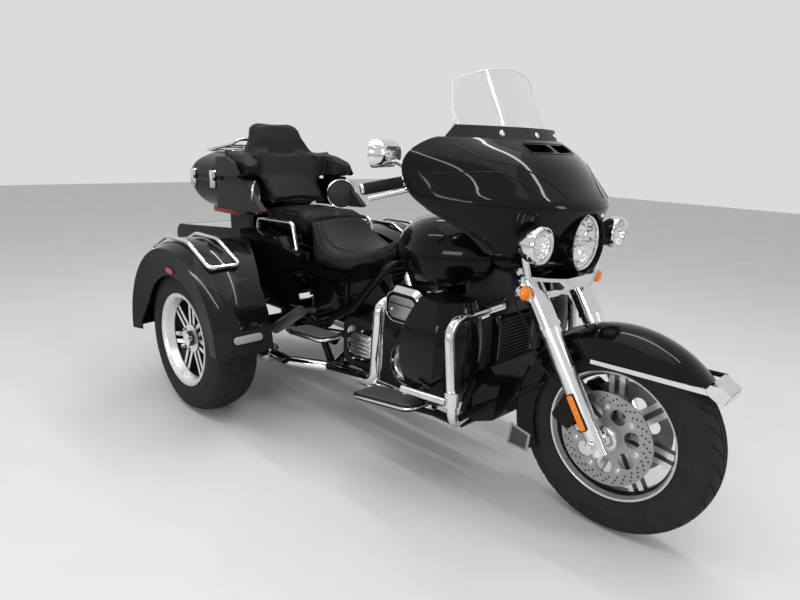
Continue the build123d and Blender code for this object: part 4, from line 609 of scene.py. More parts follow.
def tyre_profile(radius, half, shoulder, bead):
    """Points (across, radius, place on the tread from -1 to 1) from one bead to the other."""
    tread = []
    for i in range(TREAD_STEPS + 1):
        t = -1 + 2 * i / TREAD_STEPS
        tread.append((t * half * shoulder, radius - CROWN_DROP * half * abs(t) ** CROWN_POWER, t))
    side = []
    edge_y, edge_r, _ = tread[-1]
    for i in range(1, SIDE_STEPS + 1):
        s = i / SIDE_STEPS
        y = edge_y + (half - edge_y) * sin(pi * min(1.0, s * BULGE_RATE) / 2)
        y -= BEAD_DRAW * max(0.0, s - BEAD_FROM) / (1 - BEAD_FROM)
        if i in RING_ROWS:
            y += RING_HEIGHT
        if i == SIDE_STEPS:
            y -= BEAD_TUCK
        side.append((y, edge_r + (bead - edge_r) * s, ON_THE_SIDE))
    return [(-y, r, t) for y, r, t in reversed(side)] + tread + side


def tyre(name, node, body, shoulder, bead, around, grooves, depth):
    low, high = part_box(node)
    middle_x, middle_y, middle_z = [(a + b) / 2 for a, b in zip(low, high)]
    radius, half = (high[2] - low[2]) / 2 - BOX_MARGIN, (high[1] - low[1]) / 2 - BOX_MARGIN
    profile = tyre_profile(radius, half, shoulder, bead)
    verts = []
    for k in range(around):
        angle = 2 * pi * k / around
        for y, r, t in profile:
            deep = r - (depth * grooves(t, angle) if abs(t) <= 1 else 0.0)
            verts.append((middle_x + deep * sin(angle), middle_y + y, middle_z + deep * cos(angle)))
    piece = mesh_from(name, verts, strips(around, len(profile)))
    piece.data.materials.append(FINISHES["tyre_rubber"])
    shade_smooth(piece)
    modify(piece, "EDGE_SPLIT", split_angle=radians(50))
    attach(piece, body)
    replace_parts(piece, node)
    print(name, "points", len(verts), "radius", round(radius, 3))


def front_grooves(t, angle):
    """Two rings, and outside them slanted cuts that lean with the turn."""
    ring_at, ring_half, cut_from = 0.16, 0.03, 0.22
    cuts, lean, cut_share = 34, 1.1, 0.14
    if abs(abs(t) - ring_at) < ring_half:
        return 1.0
    along = (angle * cuts / (2 * pi) + lean * abs(t)) % 1.0
    return 1.0 if along < cut_share and abs(t) > cut_from else 0.0


def rear_grooves(t, angle):
    """Three straight rings and staggered cross cuts, as on a road car's tyre."""
    ring_at, ring_half, middle_half, cut_from = 0.42, 0.04, 0.035, 0.1
    cuts, lean, cut_share, cut_depth = 56, 0.35, 0.16, 0.9
    if abs(abs(t) - ring_at) < ring_half or abs(t) < middle_half:
        return 1.0
    stagger = 0.5 if abs(t) > ring_at else 0.0
    along = (angle * cuts / (2 * pi) + stagger + lean * t) % 1.0
    return cut_depth if along < cut_share and abs(t) > cut_from else 0.0


tyre("front_tread", "front_tyre", "front_wheel", 0.8, 0.208, 408, front_grooves, 0.0055)
for side, word in SIDES:
    names = ["rear_%s_%s" % (kind, word) for kind in ("tread", "tyre", "wheel")]
    tyre(*names, 0.86, 0.196, 448, rear_grooves, 0.006)

# %% [markdown]
# Lamps, caps, grips and speaker rings are all turned shapes: one outline spun about an axis. A
# single helper makes them, from pairs of distance along the axis and radius. Flat plates and rows
# of bolts get a helper each.

# %% Turn a profile about an axis


def axis_frame(origin, axis):
    """A matrix that stands +Z along an axis at a place."""
    turn = Vector(axis).normalized().to_track_quat("Z", "Y").to_matrix().to_4x4()
    return Matrix.Translation(Vector(origin)) @ turn


def dress(piece, finish, body, sharp):
    """Give a piece its finish and its body, with its edges sharp above an angle."""
    piece.data.materials.append(FINISHES[finish])
    shade_smooth(piece)
    modify(piece, "EDGE_SPLIT", split_angle=radians(sharp))
    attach(piece, body)
    return piece


def turned_mesh(profile, steps=48, wobble=None):
    """Points and faces of a profile spun about +Z; wobble changes a radius by its angle."""
    verts = []
    for k in range(steps):
        angle = 2 * pi * k / steps
        for along, radius in profile:
            r = radius if wobble is None else wobble(radius, angle)
            verts.append((r * cos(angle), r * sin(angle), along))
    return verts, [(a, d, c, b) for a, b, c, d in strips(steps, len(profile))]


def turned(name, profile, origin, axis, finish, body, steps=48, wobble=None, sharp=35):
    """A piece spun from (along, radius) pairs, welded where the radius is nothing."""
    verts, faces = turned_mesh(profile, steps, wobble)
    frame_at = axis_frame(origin, axis)
    piece = mesh_from(name, [frame_at @ Vector(v) for v in verts], faces)
    build = bmesh.new()
    build.from_mesh(piece.data)
    bmesh.ops.remove_doubles(build, verts=build.verts, dist=1e-5)
    bmesh.ops.recalc_face_normals(build, faces=build.faces)
    build.to_mesh(piece.data)
    build.free()
    return dress(piece, finish, body, sharp)


def slab(name, outline, origin, facing, thickness, finish, body, edge=0.0008, along=FORWARD):
    """A flat plate cut to an outline, with its edges eased; the outline's first axis runs along."""
    x_axis, z_axis = Vector(along).normalized(), Vector(facing).normalized()
    y_axis = z_axis.cross(x_axis).normalized()
    build = bmesh.new()
    ring = [build.verts.new(Vector(origin) + x_axis * x + y_axis * y) for x, y in outline]
    out = bmesh.ops.extrude_face_region(build, geom=[build.faces.new(ring)])
    top = [item for item in out["geom"] if isinstance(item, bmesh.types.BMVert)]
    bmesh.ops.translate(build, verts=top, vec=z_axis * thickness)
    bmesh.ops.recalc_face_normals(build, faces=build.faces)
    mesh = bpy.data.meshes.new(name)
    build.to_mesh(mesh)
    build.free()
    piece = add_object(name, mesh)
    modify(piece, "BEVEL", width=edge, segments=2, limit_method="ANGLE", angle_limit=radians(40))
    return dress(piece, finish, body, 35)


def rounded(width, height, radius, steps=5):
    """The outline of a rounded rectangle."""
    out = []
    for sx, sy, start in ((1, 1, 0), (-1, 1, 90), (-1, -1, 180), (1, -1, 270)):
        middle_x, middle_y = sx * (width / 2 - radius), sy * (height / 2 - radius)
        for i in range(steps + 1):
            angle = radians(start + 90 * i / steps)
            out.append((middle_x + radius * cos(angle), middle_y + radius * sin(angle)))
    return out


def copies(name, profile, places, axis, sides):
    """One piece that holds a turned shape at each place; a place may carry its own axis."""
    one_verts, one_faces = turned_mesh(profile, sides)
    verts, faces = [], []
    for place in places:
        frame_at = axis_frame(place[:3], place[3] if len(place) > 3 else axis)
        start = len(verts)
        verts += [frame_at @ Vector(v) for v in one_verts]
        faces += [tuple(start + i for i in face) for face in one_faces]
    return mesh_from(name, verts, faces)


def bolts(name, places, axis, radius, finish, body, height=0.5, sides=12):
    """Bolt heads: a washer, a domed head and a socket in it. Sizes are shares of the radius."""
    shares = [
        (0, 1.25), (0.16, 1.25), (0.18, 1), (height, 0.92), (height + 0.18, 0.62),
        (height + 0.16, 0.42), (0.3, 0.4), (0.3, 0),
    ]
    profile = [(radius * along, radius * out) for along, out in shares]
    dress(copies(name, profile, places, axis, sides), finish, body, 30)


def dots(name, places, axis, radius, thickness, finish, body, sides=10):
    """Small flat discs."""
    piece = copies(name, [(0, radius), (thickness, radius), (thickness, 0)], places, axis, sides)
    piece.data.materials.append(FINISHES[finish])
    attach(piece, body)


def circle(centre, radius, count, start=0.0):
    """Places on an upright circle that faces sideways."""
    turns = [start + 2 * pi * k / count for k in range(count)]
    return [Vector(centre) + Vector((radius * sin(turn), 0, radius * cos(turn))) for turn in turns]


print("turning tools ready")

# %% [markdown]
# The headlamp is a deep bright bowl cut into facets, behind a clear cover, in a chrome ring. A
# lamp reads as a lamp only if one looks into it, so the CAD's solid barrel is replaced by an open
# shell, its reflector, a shaded bulb and a thin domed cover.

# %% Headlamp and passing lamps
clouded(
    "reflector", 60.0, 2.0, rgb(0.86, 0.87, 0.88), rgb(0.74, 0.75, 0.77), (0.07, 0.06), (95.0, 0.0012),
    Metallic=1.0,
)
clear, bluish = rgb(0.95, 0.97, 1.0), rgb(0.9, 0.93, 0.97)
cover = clouded("clear_cover", 20.0, 3.0, clear, bluish, IOR=1.45, Roughness=0.02)
cover.set(Alpha=0.1 + 0.05 * cover.noise(9.0))
RIM_WIDTH = 0.012
BOWL_DEPTH = 0.6375
FACET_ROWS = 90


def ahead_turned(name, profile, centre, finish, steps=40, **looks):
    """A turned piece of the steering that faces ahead."""
    return turned(name, profile, centre, FORWARD, finish, "steering", steps, **looks)


def facets(count, depth):
    """A wobble that folds a bowl into a ring of facets, with a small step from row to row."""
    def wobble(radius, angle):
        fold = abs(((angle * count / (2 * pi)) % 1.0) - 0.5)
        step = 0.5 if int(radius * FACET_ROWS) % 2 else -0.5
        return radius * (1 + depth * (fold - 0.25) + 0.2 * depth * step)
    return wobble


def lamp(name, centre, radius, back, back_radius, count):
    """A lamp facing forward; back is how far its shell goes behind its face."""
    shell = [
        (-back, 0.0), (-back, back_radius * 0.8), (-back + 0.004, back_radius),
        (-back * 0.45, radius * 0.985), (-back * 0.16, radius), (-0.006, radius),
        (-0.0015, radius - 0.003), (-0.001, radius - 0.007), (-0.004, radius - 0.011),
        (-0.01, radius - RIM_WIDTH),
    ]
    mouth = radius - RIM_WIDTH
    rings = np.linspace(mouth, 0.012, 14)
    bowl = [(-0.01 - BOWL_DEPTH * back * (1 - (r / mouth) ** 2), r) for r in rings]
    bulb = [(-0.004, 0.012), (0.012, 0.011), (0.02, 0.009), (0.026, 0.004), (0.027, 0.0)]
    dome = np.linspace(radius - 0.0105, 0.0, 10)
    shown = ahead_turned(name + "_shell", shell, centre, "chrome", 64)
    ahead_turned(name + "_reflector", bowl, centre, "reflector", 96, wobble=facets(count, 0.07), sharp=12)
    ahead_turned(name + "_bulb", [(bowl[-1][0] + x, r) for x, r in bulb], centre, "machined_face", 24)
    lens = [(-0.001 - 0.0035 * (r / (radius - 0.01)) ** 2, r) for r in dome]
    ahead_turned(name + "_cover", lens, centre, "clear_cover", 48)
    return shown


LAMP_X, LAMP_Z = 0.837, 0.897
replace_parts(lamp("headlamp", (LAMP_X, 0.0, LAMP_Z), 0.0915, 0.069, 0.086, 16), "headlamp")
slab(
    "headlamp_divider", rounded(0.155, 0.006, 0.0029), (LAMP_X - 0.015, 0, LAMP_Z), FORWARD, 0.004,
    "chrome", "steering", along=LEFT,
)
LOW_BEAM = [
    (-0.045, 0.03), (-0.018, 0.034), (-0.014, 0.031), (-0.016, 0.027), (-0.008, 0.018), (-0.005, 0.0),
]
HIGH_BEAM = [
    (-0.045, 0.026), (-0.018, 0.029), (-0.014, 0.026), (-0.016, 0.022), (-0.009, 0.014), (-0.006, 0.0),
]
ahead_turned("headlamp_projector", LOW_BEAM, (LAMP_X, 0, LAMP_Z - 0.039), "reflector")
ahead_turned("headlamp_upper_projector", HIGH_BEAM, (LAMP_X, 0, LAMP_Z + 0.039), "reflector")
for side, word in SIDES:
    spot = lamp("passing_lamp_" + word, (LAMP_X, side * 0.236, LAMP_Z + 0.011), 0.0565, 0.08, 0.034, 12)
    if word == "right":
        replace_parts(spot, "passing_lamps")
print("headlamp and two passing lamps")

# %% [markdown]
# The turn signals are little bullets of amber plastic in chrome cups, one under each end of the
# lamp bracket, on a short stem.

# %% Turn signals
CUP = [
    (-0.046, 0.0), (-0.045, 0.012), (-0.038, 0.02), (-0.024, 0.0235), (-0.018, 0.0238),
    (-0.017, 0.021), (-0.02, 0.0),
]
BULLET = [
    (-0.019, 0.021), (-0.017, 0.0225), (-0.01, 0.0222), (-0.004, 0.019), (-0.001, 0.012), (0.0, 0.0),
]
STEM = [(0, 0.009), (0.006, 0.007), (0.016, 0.0065), (0.022, 0.009)]
for side, word in SIDES:
    centre = Vector((0.79, side * 0.218, 0.755))
    ahead_turned("signal_cup_" + word, CUP, centre, "chrome")
    bullet = ahead_turned("signal_lens_" + word, BULLET, centre, "amber_lens")
    turned("signal_stem_" + word, STEM, centre + Vector((-0.025, 0, 0.021)), UP, "chrome", "steering", 24)
    if word == "right":
        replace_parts(bullet, "turn_signals")
print("turn signals")

# %% [markdown]
# The wheels are cast, painted black, and then the faces are cut bright on a lathe. A face that
# looks outward along the axle is bright metal, and whatever looks another way is still black
# paint, so the surface's own direction chooses between the two.

# %% Machined and painted rims


def parts_of(finish, vector):
    """The three coordinates of a vector, read by name."""
    return finish.node("ShaderNodeSeparateXYZ", {}, {"Vector": vector})


def distance_from(place, axle_x, axle_z):
    along, up = place["X"] - axle_x, place["Z"] - axle_z
    return (along * along + up * up).math("SQRT")


def cut_wheel_finish(name, axle_x, axle_z, barrel_radius, barrel_out):
    """Black paint with bright faces, and a bright barrel outside a radius and a distance out."""
    finish = Finish(name, IOR=1.5)
    facing = finish.node("ShaderNodeTexCoord", {}, {})["Normal"]
    place = parts_of(finish, finish.place)
    face = parts_of(finish, facing)["Y"].math("ABSOLUTE").above(0.8, 0.06)
    outside = distance_from(place, axle_x, axle_z).above(barrel_radius, 0.001)
    barrel = outside * place["Y"].math("ABSOLUTE").above(barrel_out, 0.001)
    bright = face.math("MAXIMUM", face, barrel)
    finish.set(Base_Color=finish.mix(bright, rgb(0.012, 0.012, 0.013), rgb(0.8, 0.79, 0.77)))
    finish.set(Metallic=0.72 * bright, Roughness=0.24 + 0.1 * finish.noise(30.0, 3.0))
    finish.bump(finish.noise(1.0, 2.0, 0.5, finish.stretched(260.0, 20.0, 260.0)), 0.00015)


cut_wheel_finish("front_cut_wheel", FRONT_X, FRONT_Z, 0.1885, 0.03)
cut_wheel_finish("rear_cut_wheel", REAR_X, REAR_Z, 0.166, 0.5965)
show_finish("front_cut_wheel", "front_rim")
show_finish("rear_cut_wheel", "rear_rim_left rear_rim_right")
print("rims finished")

# %% [markdown]
# The small bright parts make a wheel look real: a thin lip round each rim, caps on the front hub,
# five nuts on each rear wheel, and on the front discs three rings of drilled holes, drawn as flat
# dark dots of painted shade, and the bobbins that join each disc to its carrier.

# %% Rim lips, hub caps, wheel nuts and drilled discs
NUT_CIRCLE, BOBBIN_CIRCLE = 0.044, 0.102
DRILL_CIRCLES, DRILLS = (0.122, 0.131, 0.14), 28
HUB_CAP = [
    (0.0, 0.04), (0.006, 0.04), (0.009, 0.036), (0.01, 0.024), (0.018, 0.021),
    (0.023, 0.016), (0.025, 0.0),
]
LIP = [(0.0, 0.0), (0.0012, 0.0), (0.0018, -0.002), (0.0016, -0.01), (0.0008, -0.0115), (0.0, -0.0115)]


def lip(outer):
    return [(along, outer + inward) for along, inward in LIP]


def front_at(y):
    return (FRONT_X, y, FRONT_Z)


def rear_at(y):
    return (REAR_X, y, REAR_Z)


holes, bobbins = [], []
for side, word in SIDES:
    out = (0, side, 0)
    wheel = "rear_wheel_" + word
    turned("front_hub_cap_" + word, HUB_CAP, front_at(side * 0.0745), out, "chrome", "front_wheel", 40)
    turned("front_lip_" + word, lip(0.2165), front_at(side * 0.046), out, "machined_face", "front_wheel", 96)
    turned("rear_lip_" + word, lip(0.2045), rear_at(side * 0.64), out, "polished_alloy", wheel, 96)
    nuts = circle(rear_at(side * 0.6215), NUT_CIRCLE, 5)
    bolts("rear_wheel_nuts_" + word, nuts, out, 0.0085, "chrome", wheel, 1.3)
    for ring, radius in enumerate(DRILL_CIRCLES):
        around = circle(front_at(side * 0.0742), radius, DRILLS, 2 * pi * ring / (3 * DRILLS))
        holes += [(*place, out) for place in around]
    around = circle(front_at(side * 0.074), BOBBIN_CIRCLE, 7, radians(47))
    bobbins += [(*place, out) for place in around]
# The drilled holes are not cut: each is a flat dark dot of painted shade on the disc.
dots("disc_drillings", holes, None, 0.0032, 0.0002, "tyre_rubber", "front_wheel")
bolts("disc_bobbins", bobbins, None, 0.0085, "machined_face", "front_wheel", 0.35, 16)
print("drillings", len(holes), "bobbins", len(bobbins))

# %% [markdown]
# Each fork leg carries an amber strip reflector, a thin slab of plastic in a dark tray, and the
# axle's nut at its foot.

# %% Fork details
FORK_UP = Vector((-sin(radians(32)), 0, cos(radians(32))))
AXLE_NUT = [(0, 0.019), (0.006, 0.019), (0.008, 0.017), (0.008, 0.012), (0.014, 0.011), (0.015, 0.0)]
fork_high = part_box("fork_sliders")[1]
for side, word in SIDES:
    out = Vector((0, side, 0))
    foot = Vector((FRONT_X, 0, FRONT_Z))
    place = foot + FORK_UP * 0.108 + out * (fork_high[1] - 0.001)
    for name, outline, lift, finish in (
        ("reflector_tray_", rounded(0.118, 0.026, 0.006), 0.0, "moulded_plastic"),
        ("reflector_strip_", rounded(0.11, 0.019, 0.004), 0.0028, "amber_lens"),
    ):
        slab(name + word, outline, place + out * lift, out, 0.003, finish, "steering", along=FORK_UP)
    turned("axle_nut_" + word, AXLE_NUT, foot + out * (fork_high[1] - 0.002), out, "chrome", "steering", 6)
print("fork trim, legs reach", [round(v, 4) for v in fork_high])

# %% [markdown]
# The engine is a narrow vee of two finned cylinders with bright covers on it. What tells a real
# one from a model is the small hardware: cover bolts, the seams of the rocker boxes, the gear
# cover's ring, and the cleaner's brushed panel inside its chrome bowl.

# %% Air cleaner


def at(origin, x=0.0, y=0.0, z=0.0):
    return Vector(origin) + Vector((x, y, z))


def upright(origin, outline, out=0.0):
    """Places of a flat outline that stands upright and faces sideways, moved out by a distance."""
    return [at(origin, x, out, z) for x, z in outline]


low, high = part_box("air_cleaner")
CLEANER = Vector(((low[0] + high[0]) / 2, low[1], (low[2] + high[2]) / 2))
for name, outline, out, up, thickness, finish, edge in (
    ("recess", rounded(0.166, 0.111, 0.042, 8), 0, 0, 0.0009, "gloss_black", 0.0003),
    ("insert", rounded(0.142, 0.084, 0.034, 8), -0.0006, 0, 0.0026, "brushed_steel", 0.0008),
    # The groove is not cut: this thin black strip on the insert paints the groove's shade.
    ("groove", rounded(0.138, 0.0045, 0.002, 3), -0.003, 0.012, 0.0005, "gloss_black", 0.0001),
):
    slab("cleaner_" + name, outline, at(CLEANER, 0, out, up), RIGHT, thickness, finish, "chassis", edge)
cord_round("cleaner_bead", upright(CLEANER, rounded(0.168, 0.113, 0.043, 8), -0.0006), 0.003)
seam_line = upright(CLEANER, rounded(0.2062, 0.1512, 0.062, 10), 0.0225)
cord_round("cleaner_seam", seam_line, 0.0024, True, "moulded_plastic")
cleaner_bolts = [at(CLEANER, x, -0.003, -0.012) for x in (-0.052, 0.052)]
bolts("cleaner_bolts", cleaner_bolts, RIGHT, 0.0048, "chrome", "chassis")
print("air cleaner at", [round(v, 3) for v in CLEANER])

# %% Cover bolts and ribs
CRANK = Vector((REAR_X + 0.87, 0, 0.345))
GEARCASE = at(CRANK, -0.004, -0.146)
GEARBOX = Vector((REAR_X + 0.6, -0.138, 0.352))
COVER_RING = [
    (0.0, 0.062), (0.0035, 0.061), (0.005, 0.058), (0.005, 0.053), (0.0025, 0.05), (0.0015, 0.03),
    (0.004, 0.026), (0.0045, 0.0),
]
turned("gearcase_plate", COVER_RING, GEARCASE, RIGHT, "polished_alloy", "chassis", 64)
cover_bolts = circle(at(GEARCASE, y=0.0006), 0.071, 6, pi / 6)
corners = [(x, z) for z in (0.045, -0.045) for x in (-0.075, 0.075)]
cover_bolts += upright(GEARBOX, [*corners, (0, 0.062), (0, -0.062)], 0.0006)
bolts("engine_cover_bolts", cover_bolts, RIGHT, 0.0052, "chrome", "chassis", 0.6)
plate = rounded(0.13, 0.098, 0.024)
slab("gearbox_plate", plate, at(GEARBOX, y=0.0006), RIGHT, 0.004, "polished_alloy", "chassis", 0.001)
for row in range(5):
    place = at(GEARBOX, 0, -0.003, 0.036 - 0.018 * row)
    rib = rounded(0.112, 0.0085, 0.004)
    slab("gearbox_rib_%d" % row, rib, place, RIGHT, 0.012, "polished_alloy", "chassis", 0.0012)
print("cover bolts", len(cover_bolts))

# %% Rocker box seams and bolts
rocker_bolts = []
for number, lean in enumerate((radians(-22.5), radians(22.5))):
    up = Vector((sin(lean), 0, cos(lean)))
    across = Vector((cos(lean), 0, -sin(lean)))
    for level in (0.316, 0.3385):
        outline = [at(CRANK + up * level + across * x, y=y) for x, y in rounded(0.1246, 0.1506, 0.024)]
        name = "rocker_seam_%d_%d" % (number, round(level * 1000))
        cord_round(name, outline, 0.0016, True, "moulded_plastic")
    for x in (-0.04, 0.0, 0.04):
        for side, word in SIDES:
            rocker_bolts.append((*at(CRANK + up * 0.302 + across * x, y=side * 0.0742), (0, side, 0)))
bolts("rocker_bolts", rocker_bolts, None, 0.0055, "chrome", "chassis", 0.6)
print("rocker bolts", len(rocker_bolts))

# %% [markdown]
# Ahead of the engine, the two frame tubes carry a finned oil cooler between them, and a shroud
# wraps the steering neck under the tank. Both are black, and they close the view through the
# front of the machine. The cooler is a tank at each side and a stack of thin plates.

# %% Oil cooler and neck shroud
for row in range(13):
    plate = rounded(0.03, 0.2, 0.004, 2)
    place = (0.592, 0.0, 0.452 + 0.0125 * row)
    slab("cooler_plate_%d" % row, plate, place, UP, 0.0035, "crinkle_black", "chassis", 0.0006)
TANK = [(0.0, 0.0), (0.02, -0.002), (0.034, 0.03), (0.036, 0.15), (0.022, 0.186), (0.0, 0.19)]
WING = [(0.0, 0.0), (0.1, 0.01), (0.104, 0.18), (0.0, 0.19)]
NECK = [(0.0, -0.04), (0.165, -0.022), (0.187, 0.07), (0.177, 0.13), (0.085, 0.14), (0.0, 0.105)]
for side, word in SIDES:
    tank_place = (0.574, side * 0.1 + 0.011, 0.438)
    slab("cooler_tank_" + word, TANK, tank_place, RIGHT, 0.022, "frame_black", "chassis", 0.004)
    wing = WING if side > 0 else [(-y, z) for y, z in reversed(WING)]
    slab(
        "lower_inner_panel_" + word, wing, (0.585, side * 0.112, 0.436), FORWARD, 0.004,
        "moulded_plastic", "chassis", 0.001, LEFT,
    )
slab("neck_shroud", NECK, (0.44, 0.07, 0.64), RIGHT, 0.14, "moulded_plastic", "chassis", 0.012)
print("oil cooler")

# %% [markdown]
# The rider's and passenger's boards are metal plates with a chrome edge and a grey rubber pad.
# The pad's raised ribs are separate strips, so that they catch the light along their length.

# %% Footboards
clouded(
    "board_rubber", 60.0, 4.0, rgb(0.045, 0.045, 0.046), rgb(0.085, 0.085, 0.086), (0.55, 0.2),
    (900.0, 0.0002), IOR=1.45,
)
BOARDS = (
    ("rider", (REAR_X + 1.005, 0.35, 0.3), 8, 0.3, 0.124, 0.036, 0.016),
    ("passenger", (REAR_X + 0.56, 0.352, 0.428), 3.4, 0.24, 0.108, 0.034, 0.015),
)
for side, word in SIDES:
    for kind, (x, y, z), tilt, length, width, corner, top in BOARDS:
        lean = radians(tilt)
        along, upward = Vector((cos(lean), 0, sin(lean))), Vector((-sin(lean), 0, cos(lean)))
        surface = Vector((x, side * y, z)) + upward * top
        name = kind + "_board_"
        pad = rounded(length - 0.02, width - 0.02, corner - 0.01)
        rubber = [("pad_" + word, pad, surface - upward * 0.0002, 0.0045, 0.0015)]
        for row in range(7):
            place = at(surface + upward * 0.004, y=(row - 3) * (width - 0.036) / 7)
            rib = rounded(length - 0.052 - (0.028 if row in (0, 6) else 0.0), 0.0065, 0.003, 3)
            rubber.append(("rib_%s_%d" % (word, row), rib, place, 0.003, 0.0008))
        for label, outline, place, thickness, edge in rubber:
            slab(name + label, outline, place, upward, thickness, "board_rubber", "chassis", edge, along)
        foot = surface - upward * 0.006
        rim = [at(foot + along * x, y=y) for x, y in rounded(length, width, corner, 6)]
        cord_round(name + "edge_" + word, rim, 0.009)
print("boards")

# %% [markdown]
# The left side of the engine is one long polished case over the primary chain. A raised bead runs
# round it, a round cover gives access to the clutch, and an oval one to the chain adjuster.

# %% Primary case covers
PRIMARY_FACE = 0.176
CLUTCH = Vector((REAR_X + 0.56, PRIMARY_FACE, 0.341))
SPROCKET = at(CRANK, y=PRIMARY_FACE)
bead = []
for centre, radius, start in ((SPROCKET, 0.105, -90), (CLUTCH, 0.084, 90)):
    for step in range(19):
        angle = radians(start + 10 * step)
        bead.append(at(centre, radius * cos(angle), 0, radius * sin(angle)))
cord_round("primary_bead", bead, 0.01, True, "polished_alloy")
CLUTCH_COVER = [
    (0.0, 0.066), (0.005, 0.066), (0.008, 0.062), (0.008, 0.046), (0.0055, 0.043), (0.0065, 0.0),
]
turned("clutch_cover", CLUTCH_COVER, CLUTCH, LEFT, "polished_alloy", "chassis", 64)
oval = rounded(0.112, 0.06, 0.0298, 8)
slab("adjuster_cover", oval, at(SPROCKET, -0.01), LEFT, 0.006, "polished_alloy", "chassis", 0.0015)
primary_bolts = circle(at(CLUTCH, y=0.008), 0.054, 5)
primary_bolts += [at(SPROCKET, x - 0.01, 0.006) for x in (-0.044, 0.044)]
primary_bolts += [bead[k] * 0.96 + at(SPROCKET, -0.155) * 0.04 for k in range(1, 38, 4)]
bolts("primary_bolts", primary_bolts, LEFT, 0.0055, "chrome", "chassis", 0.6)
print("primary bolts", len(primary_bolts))

# %% [markdown]
# The rear fender is one moulding with two finishes: its flat outer ring is satin, its crown is
# glossy, and the lowest corner ahead of the wheel is a grained black guard. The finish finds each
# zone from how far a point lies from the axle and how high it stands.

# %% Rear fender finish
RING_OUTER, RIDGE_RADIUS = 0.4015, 0.4285
GUARD_X, GUARD_Z = -0.4, 0.455
fender = Finish("rear_fender_paint", IOR=1.5, Coat_Roughness=0.03, Specular_IOR_Level=0.08, Coat_IOR=1.27)
place = parts_of(fender, fender.place)
reach = distance_from(place, REAR_X, REAR_Z)
guard = (place["X"] - GUARD_X).above(0.0, 0.002) * (GUARD_Z - place["Z"]).above(0.0, 0.002)
gloss = reach.above(RING_OUTER, 0.0015) * (1 - guard)
cloud = fender.noise(7.0, 4.0)
fender.set(Base_Color=fender.mix(gloss, rgb(0.017, 0.017, 0.018), PAINT_BLACK))
fender.set(Roughness=0.42 - 0.2 * gloss + 0.05 * cloud, Coat_Weight=gloss)
crease = 1 - ((reach - RIDGE_RADIUS) * 260.0).math("ABSOLUTE")
ridge = crease.math("MAXIMUM", crease, 0.0)
fender.bump(0.35 * ridge + 0.05 * guard * fender.cells(900.0) + 0.01 * cloud, 0.004)
show_finish("rear_fender_paint", "rear_fenders")
print("rear fenders: satin ring, gloss crown, grained guard")

# %% [markdown]
# Two draw latches hold the case shut. The lower half of each is a keeper on the case, and the
# hasp that bridges the split belongs to the lid and swings up with it. Lower down, a pale bar is
# let into the front of each fender.

# %% Case latches and fender bars
clouded(
    "pale_trim", 40.0, 4.0, rgb(0.36, 0.36, 0.37), rgb(0.27, 0.27, 0.28), (0.45, 0.15), (800.0, 0.0001),
    IOR=1.45,
)
CASE_SIDE = 0.2915
latch_outer = -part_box("lid_fittings")[0][1]
for number, x in enumerate((REAR_X - 0.524, REAR_X - 0.325)):
    slab(
        "case_keeper_%d" % number, rounded(0.052, 0.034, 0.008), (x, -CASE_SIDE, 0.958), RIGHT,
        latch_outer - CASE_SIDE, "chrome", "chassis", 0.0015,
    )
    slab(
        "case_hasp_%d" % number, rounded(0.03, 0.074, 0.006), (x, -latch_outer - 0.0003, 0.984), RIGHT,
        0.0045, "polished_alloy", "top_case_lid", 0.0012,
    )
for side, word in SIDES:
    slab(
        "fender_bar_" + word, rounded(0.124, 0.03, 0.0145), (REAR_X + 0.4262, side * 0.572, 0.424),
        (0.974, 0, 0.228), 0.01, "pale_trim", "chassis", 0.004, LEFT,
    )
print("latches reach", round(latch_outer, 4))

# %% [markdown]
# A speaker hides behind a woven grille in a chrome ring in each pod, facing the passenger. The
# grille is a shallow dome whose holes are drawn by a cell pattern in its relief and colour.

# %% Speakers
grille = Finish("speaker_grille", IOR=1.45)
solid = grille.cells(520.0).above(0.45, 0.1)
grille.set(Base_Color=grille.mix(solid, rgb(0.004, 0.004, 0.004), rgb(0.03, 0.03, 0.031)))
grille.set(Roughness=0.55 - 0.15 * solid)
grille.bump(solid, 0.0006)
POD_TURN = radians(47)
RING = [(0.0, 0.0775), (0.004, 0.0775), (0.007, 0.075), (0.0075, 0.0715), (0.005, 0.069), (0.001, 0.0685)]
DOME = [(0.0012 + 0.005 * (1 - (r / 0.069) ** 2), r) for r in np.linspace(0.069, 0.0, 8)]
for side, word in SIDES:
    face = (REAR_X - 0.024, side * 0.252, 0.919)
    toward = (cos(POD_TURN), -side * sin(POD_TURN), 0)
    turned("speaker_ring_" + word, RING, face, toward, "chrome", "chassis", 64)
    turned("speaker_grille_" + word, DOME, face, toward, "speaker_grille", "chassis")
print("speakers")

# %% [markdown]
# Behind each side of the front fender a small mud flap hangs: a rubber sheet with a pale border
# and a quilted middle.

# %% Mud flaps
quilt = Finish("quilted_rubber", IOR=1.45)
squares = quilt.cells(190.0)
dark, light = rgb(0.02, 0.02, 0.02), rgb(0.06, 0.06, 0.058)
quilt.set(Base_Color=quilt.mix(squares.above(0.4, 0.2), dark, light), Roughness=0.5 + 0.2 * squares)
quilt.bump(squares, 0.0012)
FLAP = [(1.322, 0.247), (1.335, 0.164), (1.416, 0.182), (1.409, 0.25)]
middle_x, middle_z = (sum(values) / len(FLAP) for values in zip(*FLAP))
for side, word in SIDES:
    for name, scale, finish, y in (
        ("mud_flap_border_", 1.0, "pale_trim", 0.0862), ("mud_flap_panel_", 0.78, "quilted_rubber", 0.0878),
    ):
        outline = [((x - middle_x) * scale, side * (z - middle_z) * scale) for x, z in FLAP[::-side]]
        place = (REAR_X + middle_x, side * y, middle_z)
        slab(name + word, outline, place, (0, side, 0), 0.002, finish, "steering", 0.0006)
print("mud flaps")

# %% [markdown]
# Round the back, the tail lamps sit in chrome bezels, the trunk door has a raised panel, a handle
# and a lock, and each muffler ends in a rolled lip with a dark bore behind it.

